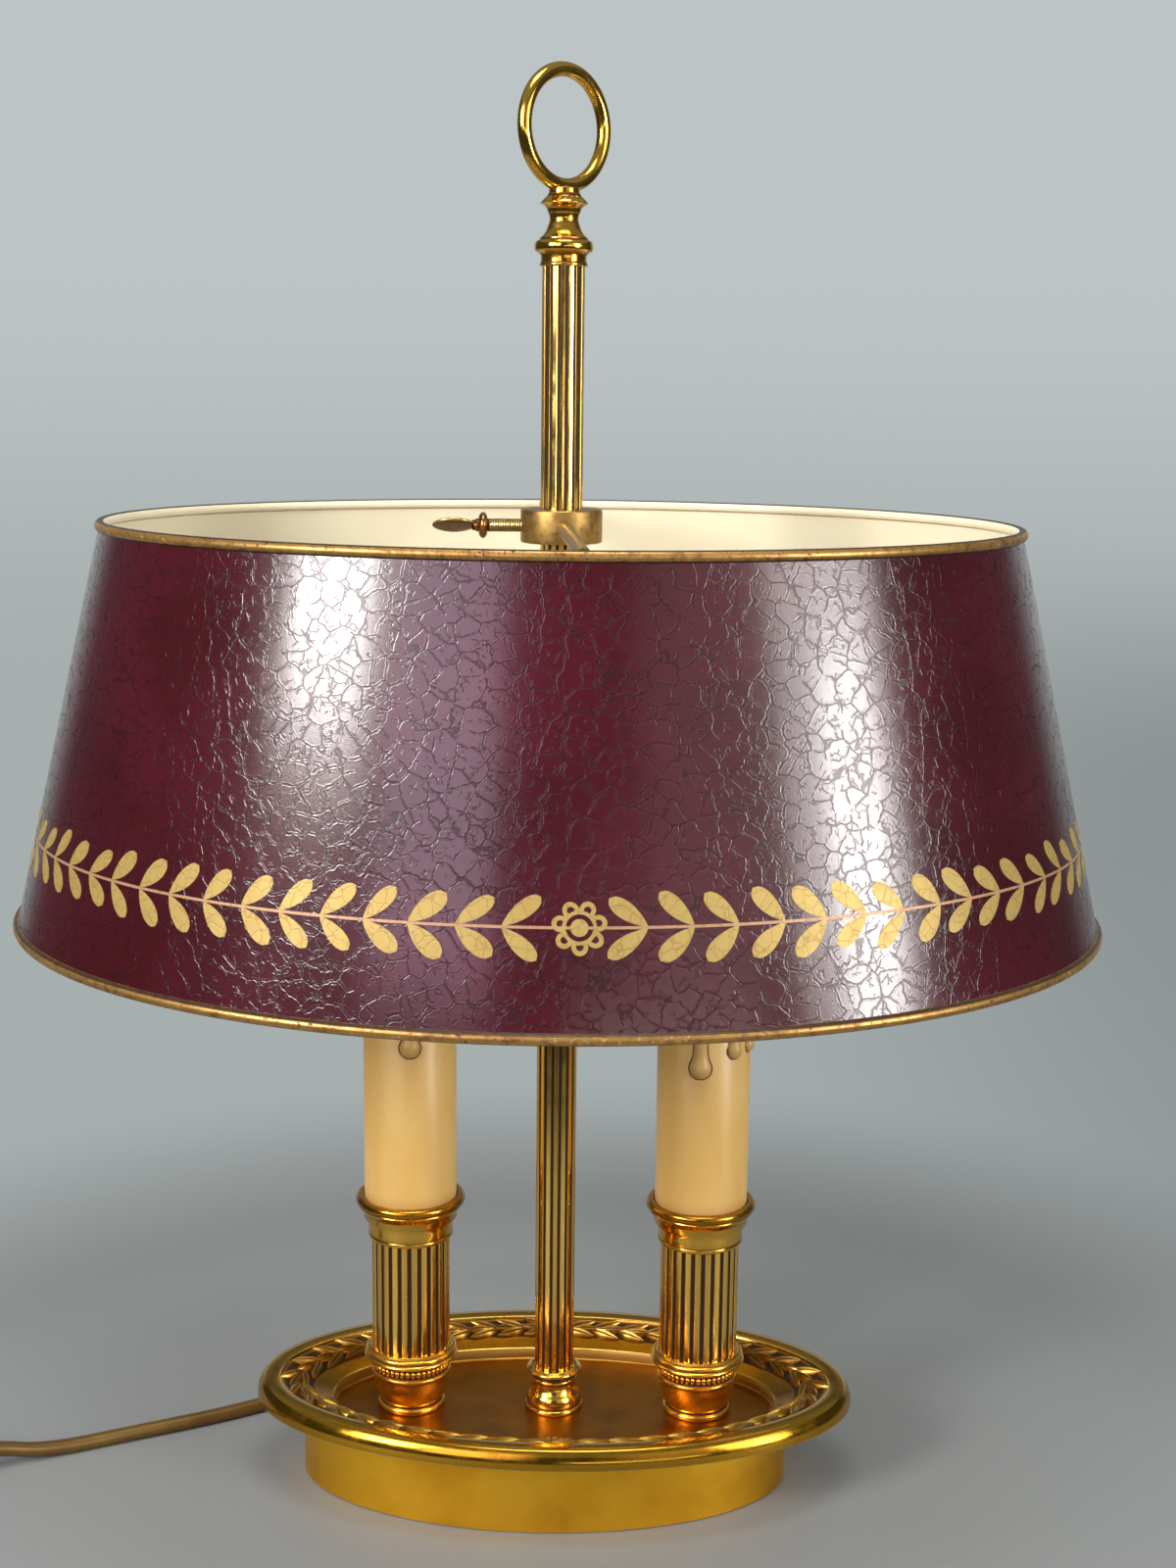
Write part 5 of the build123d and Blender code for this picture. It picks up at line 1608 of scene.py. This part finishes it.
# ---------------------------------------------------------------- tray
@dataclass
class Tray:
    """Cast oval tray with a laurel relief inside its rim, on its foot band."""

    a: float = 99.8
    b: float = 54.1
    facets: int = 256
    seat: float = 24.0
    floor_a: float = 73.7
    floor_b: float = 34.0
    rim: float = 8.0
    band_top: float = 31.3
    band_foot: float = 27.4
    band_ends: float = 12.3
    band_sides: float = 7.6
    band_sink: float = 0.22
    pitch: float = 9.6
    steps: int = 900
    seed: int = 3

    def oval(self, t: float, inwards: float, height: float) -> Vector:
        """A point inside the edge: t from the right end, the distance square to the edge."""
        normal = Vector((math.cos(t) / self.a, math.sin(t) / self.b, 0.0)).normalized()
        return Vector((self.a * math.cos(t), self.b * math.sin(t), height)) - normal * inwards

    def band(self, t: float, share: float) -> Vector:
        """A point of the sunk band under the leaves.

        Args:
            t: the angle from the right end.
            share: 0 at the rim and 1 at the band's foot.

        Returns:
            The point.
        """
        width = self.band_sides + (self.band_ends - self.band_sides) * math.cos(t) ** 2
        sink = self.band_sink * math.sin(math.pi * share)
        return self.oval(t, self.rim + width * share,
                         self.band_top + (self.band_foot - self.band_top) * share - sink)

    def dish(self, t: float, out: float, height: float) -> Vector:
        """A point of the floor's oval or one round it.

        Args:
            t: the angle; the point faces the band's foot there.
            out: how much larger the oval is than the floor's.
            height: the point's height.

        Returns:
            The point.
        """
        a, b, foot = self.floor_a + out, self.floor_b + out, self.band(t, 1.0)
        turn = math.atan2(foot.y / b, foot.x / a)
        return Vector((a * math.cos(turn), b * math.sin(turn), height))

    def build(self) -> None:
        """Builds the casting, its relief and the foot."""
        self.casting()
        self.laurel()
        refine("foot_band", "foot_band_shape", BAND)

    def casting(self) -> None:
        """Rim, sunk band, slope and sunk floor, as a chain of rings."""
        rim = Profile(4.1, self.seat).to((0.8, 25.8), (0.1, 26.2)).bow((0.55, 29.6), (2.3, 32.2), 10)
        rim.bow((5.0, 32.55), (7.5, 32.2), 6).to((7.75, 32.0), (self.rim, self.band_top))
        blank = Blank()
        edge, band, slope, floor, under = (
            [self.ring(blank, rule, *spot) for spot in spots] for rule, spots in (
                (self.oval, rim.points), (self.band, ((0.15,), (0.5,), (0.85,), (1.0,))),
                (self.dish, ((0.9, 25.95), (0.35, 25.75), (0.0, 25.3))),
                (self.dish, ((0.0, TRAY_FLOOR + 0.5), (-0.5, TRAY_FLOOR))),
                (self.dish, ((2.0, 19.5), (2.0, self.seat)))))
        chain = [*under, *edge, *band, *slope, *floor]
        for first, second in zip(chain, chain[1:]):
            bmesh.ops.bridge_loops(blank.bm, edges=first + second)
        for ring in (floor[-1], under[0]):
            bmesh.ops.contextual_create(blank.bm, geom=ring)
        blank.face_out().stain(0.9, 1)
        # the edge mark on the step wall between slope and floor paints it pale: wear on its corner and a painted
        # highlight on the wall
        for rings, name, value in ((band[:3], "hollow", 0.95), ([band[3], slope[0]], "dull", 0.7),
                                   (floor[-1:], "dull", 1.0), (floor[-1:], "satin", 0.35),
                                   ([slope[-1], floor[0]], "satin", 1.0), ([slope[-1], floor[0]], "edge", 0.8)):
            layer = blank.layer(name)
            for vert in {vert for ring in rings for edge in ring for vert in edge.verts}:
                vert[layer] = max(vert[layer], value)
        blank.finish("tray_casting", TRAY_BRASS, ["tray"], sharp=40)

    def ring(self, blank: Blank, rule: Callable[..., Vector], *spot: float) -> list[bmesh.types.BMEdge]:
        """Adds a closed ring of edges.

        Args:
            blank: the stock that gets the ring.
            rule: the place for each angle.
            spot: what else the rule takes.

        Returns:
            The ring's edges.
        """
        made = bmesh.ops.create_circle(blank.bm, segments=self.facets, radius=1.0)["verts"]
        for vert in made:
            vert.co = rule(math.atan2(vert.co.y, vert.co.x), *spot)
        return list({edge for vert in made for edge in vert.link_edges})

    def leaf(self) -> Blank:
        """A raised leaf from its foot at the origin along X.

        Returns:
            The leaf, folded along a vein, with its tip lifted.
        """
        def form(co: Vector) -> Vector:
            """Swells the sheet to a leaf.

            Args:
                co: a point of the sheet.

            Returns:
                The point's place in the leaf.
            """
            full = math.sin(math.pi * min(1.0, 0.05 + 0.95 * co.x ** 0.85)) ** 0.75 if co.x < 0.999 else 0.02
            across = abs(co.y) * 2
            rise = 0.25 + full * (0.72 * math.sin(math.pi * min(1.0, 0.18 + 0.82 * across)) - 0.42 * across ** 3)
            return Vector((co.x, co.y * full, rise + 0.38 * co.x ** 2))

        return Blank().sheet(9, 6).bend(form).thicken(-1.2)

    def laurel(self) -> None:
        """The garland: threes of leaves from the back both ways round to a tie in front."""
        dice = random.Random(self.seed)
        leaf, garland = self.leaf(), Blank()
        for way in (1, -1):
            travelled, next_at, last = 0.0, 2.0, self.band(math.pi / 2, 0.5)
            for n in range(1, self.steps):
                t = math.pi / 2 + way * math.pi * n / self.steps
                here = self.band(t, 0.5)
                travelled += (here - last).length
                if travelled > next_at and n < self.steps * 0.975:
                    across = self.band(t, 0.0) - self.band(t, 1.0)
                    along = (here - last).normalized()
                    up = across.cross(along).normalized()
                    up = up if up.z > 0 else -up
                    base = Matrix((along, up.cross(along), up)).transposed().to_4x4()
                    self.three(garland, leaf, Matrix.Translation(here) @ base, across.length, dice)
                    next_at += self.pitch
                last = here
        tie = Blank().ball(16, 10)
        middle = -math.pi / 2 + 0.02
        for n in range(-2, 3):
            place = Matrix.Translation(self.band(middle + 0.0215 * n, 0.42) + Vector((0, 0, 0.8)))
            garland.add(tie, place @ placed(turn=-8 * n) @ Matrix.Diagonal((1.25, 3.3 - 0.3 * abs(n), 1.2, 1.0)))
        garland.stain(0.6, 1).finish("laurel_relief", RELIEF)

    def three(self, garland: Blank, leaf: Blank, base: Matrix, width: float, dice: random.Random) -> None:
        """One group: an outer and an inner leaf and one between them.

        Args:
            garland: the stock that gets them.
            leaf: the leaf, one millimetre long and wide.
            base: the group's place, with X along the garland and Z off the band.
            width: the band's width there.
            dice: what varies them.
        """
        spread = math.degrees(math.asin(min(0.5, (width / 2 - 1.2) / 10.0)))
        for turn, length, broad, start, lift in (
                (spread, 10.8, 4.4, 0.0, 0.0), (-spread, 10.8, 4.4, 0.0, 0.0), (0.0, 9.2, 3.4, 3.2, 0.35)):
            shape = Matrix.Diagonal((length + dice.uniform(-0.5, 0.5), broad + dice.uniform(-0.2, 0.2), 1.7, 1.0))
            garland.add(leaf, base @ placed(x=start, z=lift, turn=turn + dice.uniform(-3, 3)) @ shape)


# ---------------------------------------------------------------- inside and below
@dataclass
class Works:
    """What carries the current and the weight: holders, lamps, wiring, ballast and fixings."""

    candle_nodes: tuple[tuple[Finish, tuple[str, ...]], ...] = (
        (ZINC, ("nipple", "nipple_nut")), (PHENOLIC, ("holder_body",)),
        (CONTACT, ("screw_shell", "centre_contact")), (CAP, ("lamp_cap",)), (GLASS, ("lamp_glass",)),
        (CERAMIC, ("lead",)))
    base_nodes: tuple[tuple[Finish, tuple[str, ...]], ...] = (
        (IRON, ("ballast",)), (FELT, ("base_felt",)), (FLEX, ("inner_cord",)),
        (ZINC, ("bottom_plate", "cover_screws", "tie_rod", "rod_washer", "rod_nut", "switch_screw")),
        (CERAMIC, ("terminal_block", "cord_anchor")))

    def build(self) -> None:
        """Gives each inner piece its finish."""
        for finish, nodes in self.candle_nodes:
            self.dress(finish, [f"{node}_{side.value}" for side in Side for node in nodes])
        for finish, nodes in self.base_nodes:
            self.dress(finish, nodes)
        refine("cord_bush", "cord_bush_shape", BUSH)

    def dress(self, finish: Finish, nodes: Sequence[str]) -> None:
        """Puts a finish on CAD nodes that stay.

        Args:
            finish: the finish.
            nodes: the nodes' names.
        """
        for node in nodes:
            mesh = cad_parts[node].data
            mesh.materials.clear()
            mesh.materials.append(finish.material())
            LOG.info("%s dressed in %s for %s", node, finish.name, finish.slot)


# ---------------------------------------------------------------- start
def main() -> None:
    """Builds the room and the lamp."""
    Room().build()
    Flex().build()
    Tray().build()
    Stem().build()
    Candle(Side.LEFT, (WaxRun(-84.0, 147.6, 3.4, 4.2), WaxRun(-8.0, 154.0, 2.0, 3.0))).build()
    Candle(Side.RIGHT, (WaxRun(-96.0, 142.4, 3.6, 4.4), WaxRun(-52.0, 148.5, 2.8, 4.0),
                        WaxRun(-22.0, 149.0, 2.4, 3.6))).build()
    Shade().build()
    Works().build()


if __name__ == "__main__":
    logging.basicConfig(level=logging.INFO, format="%(message)s")
    main()
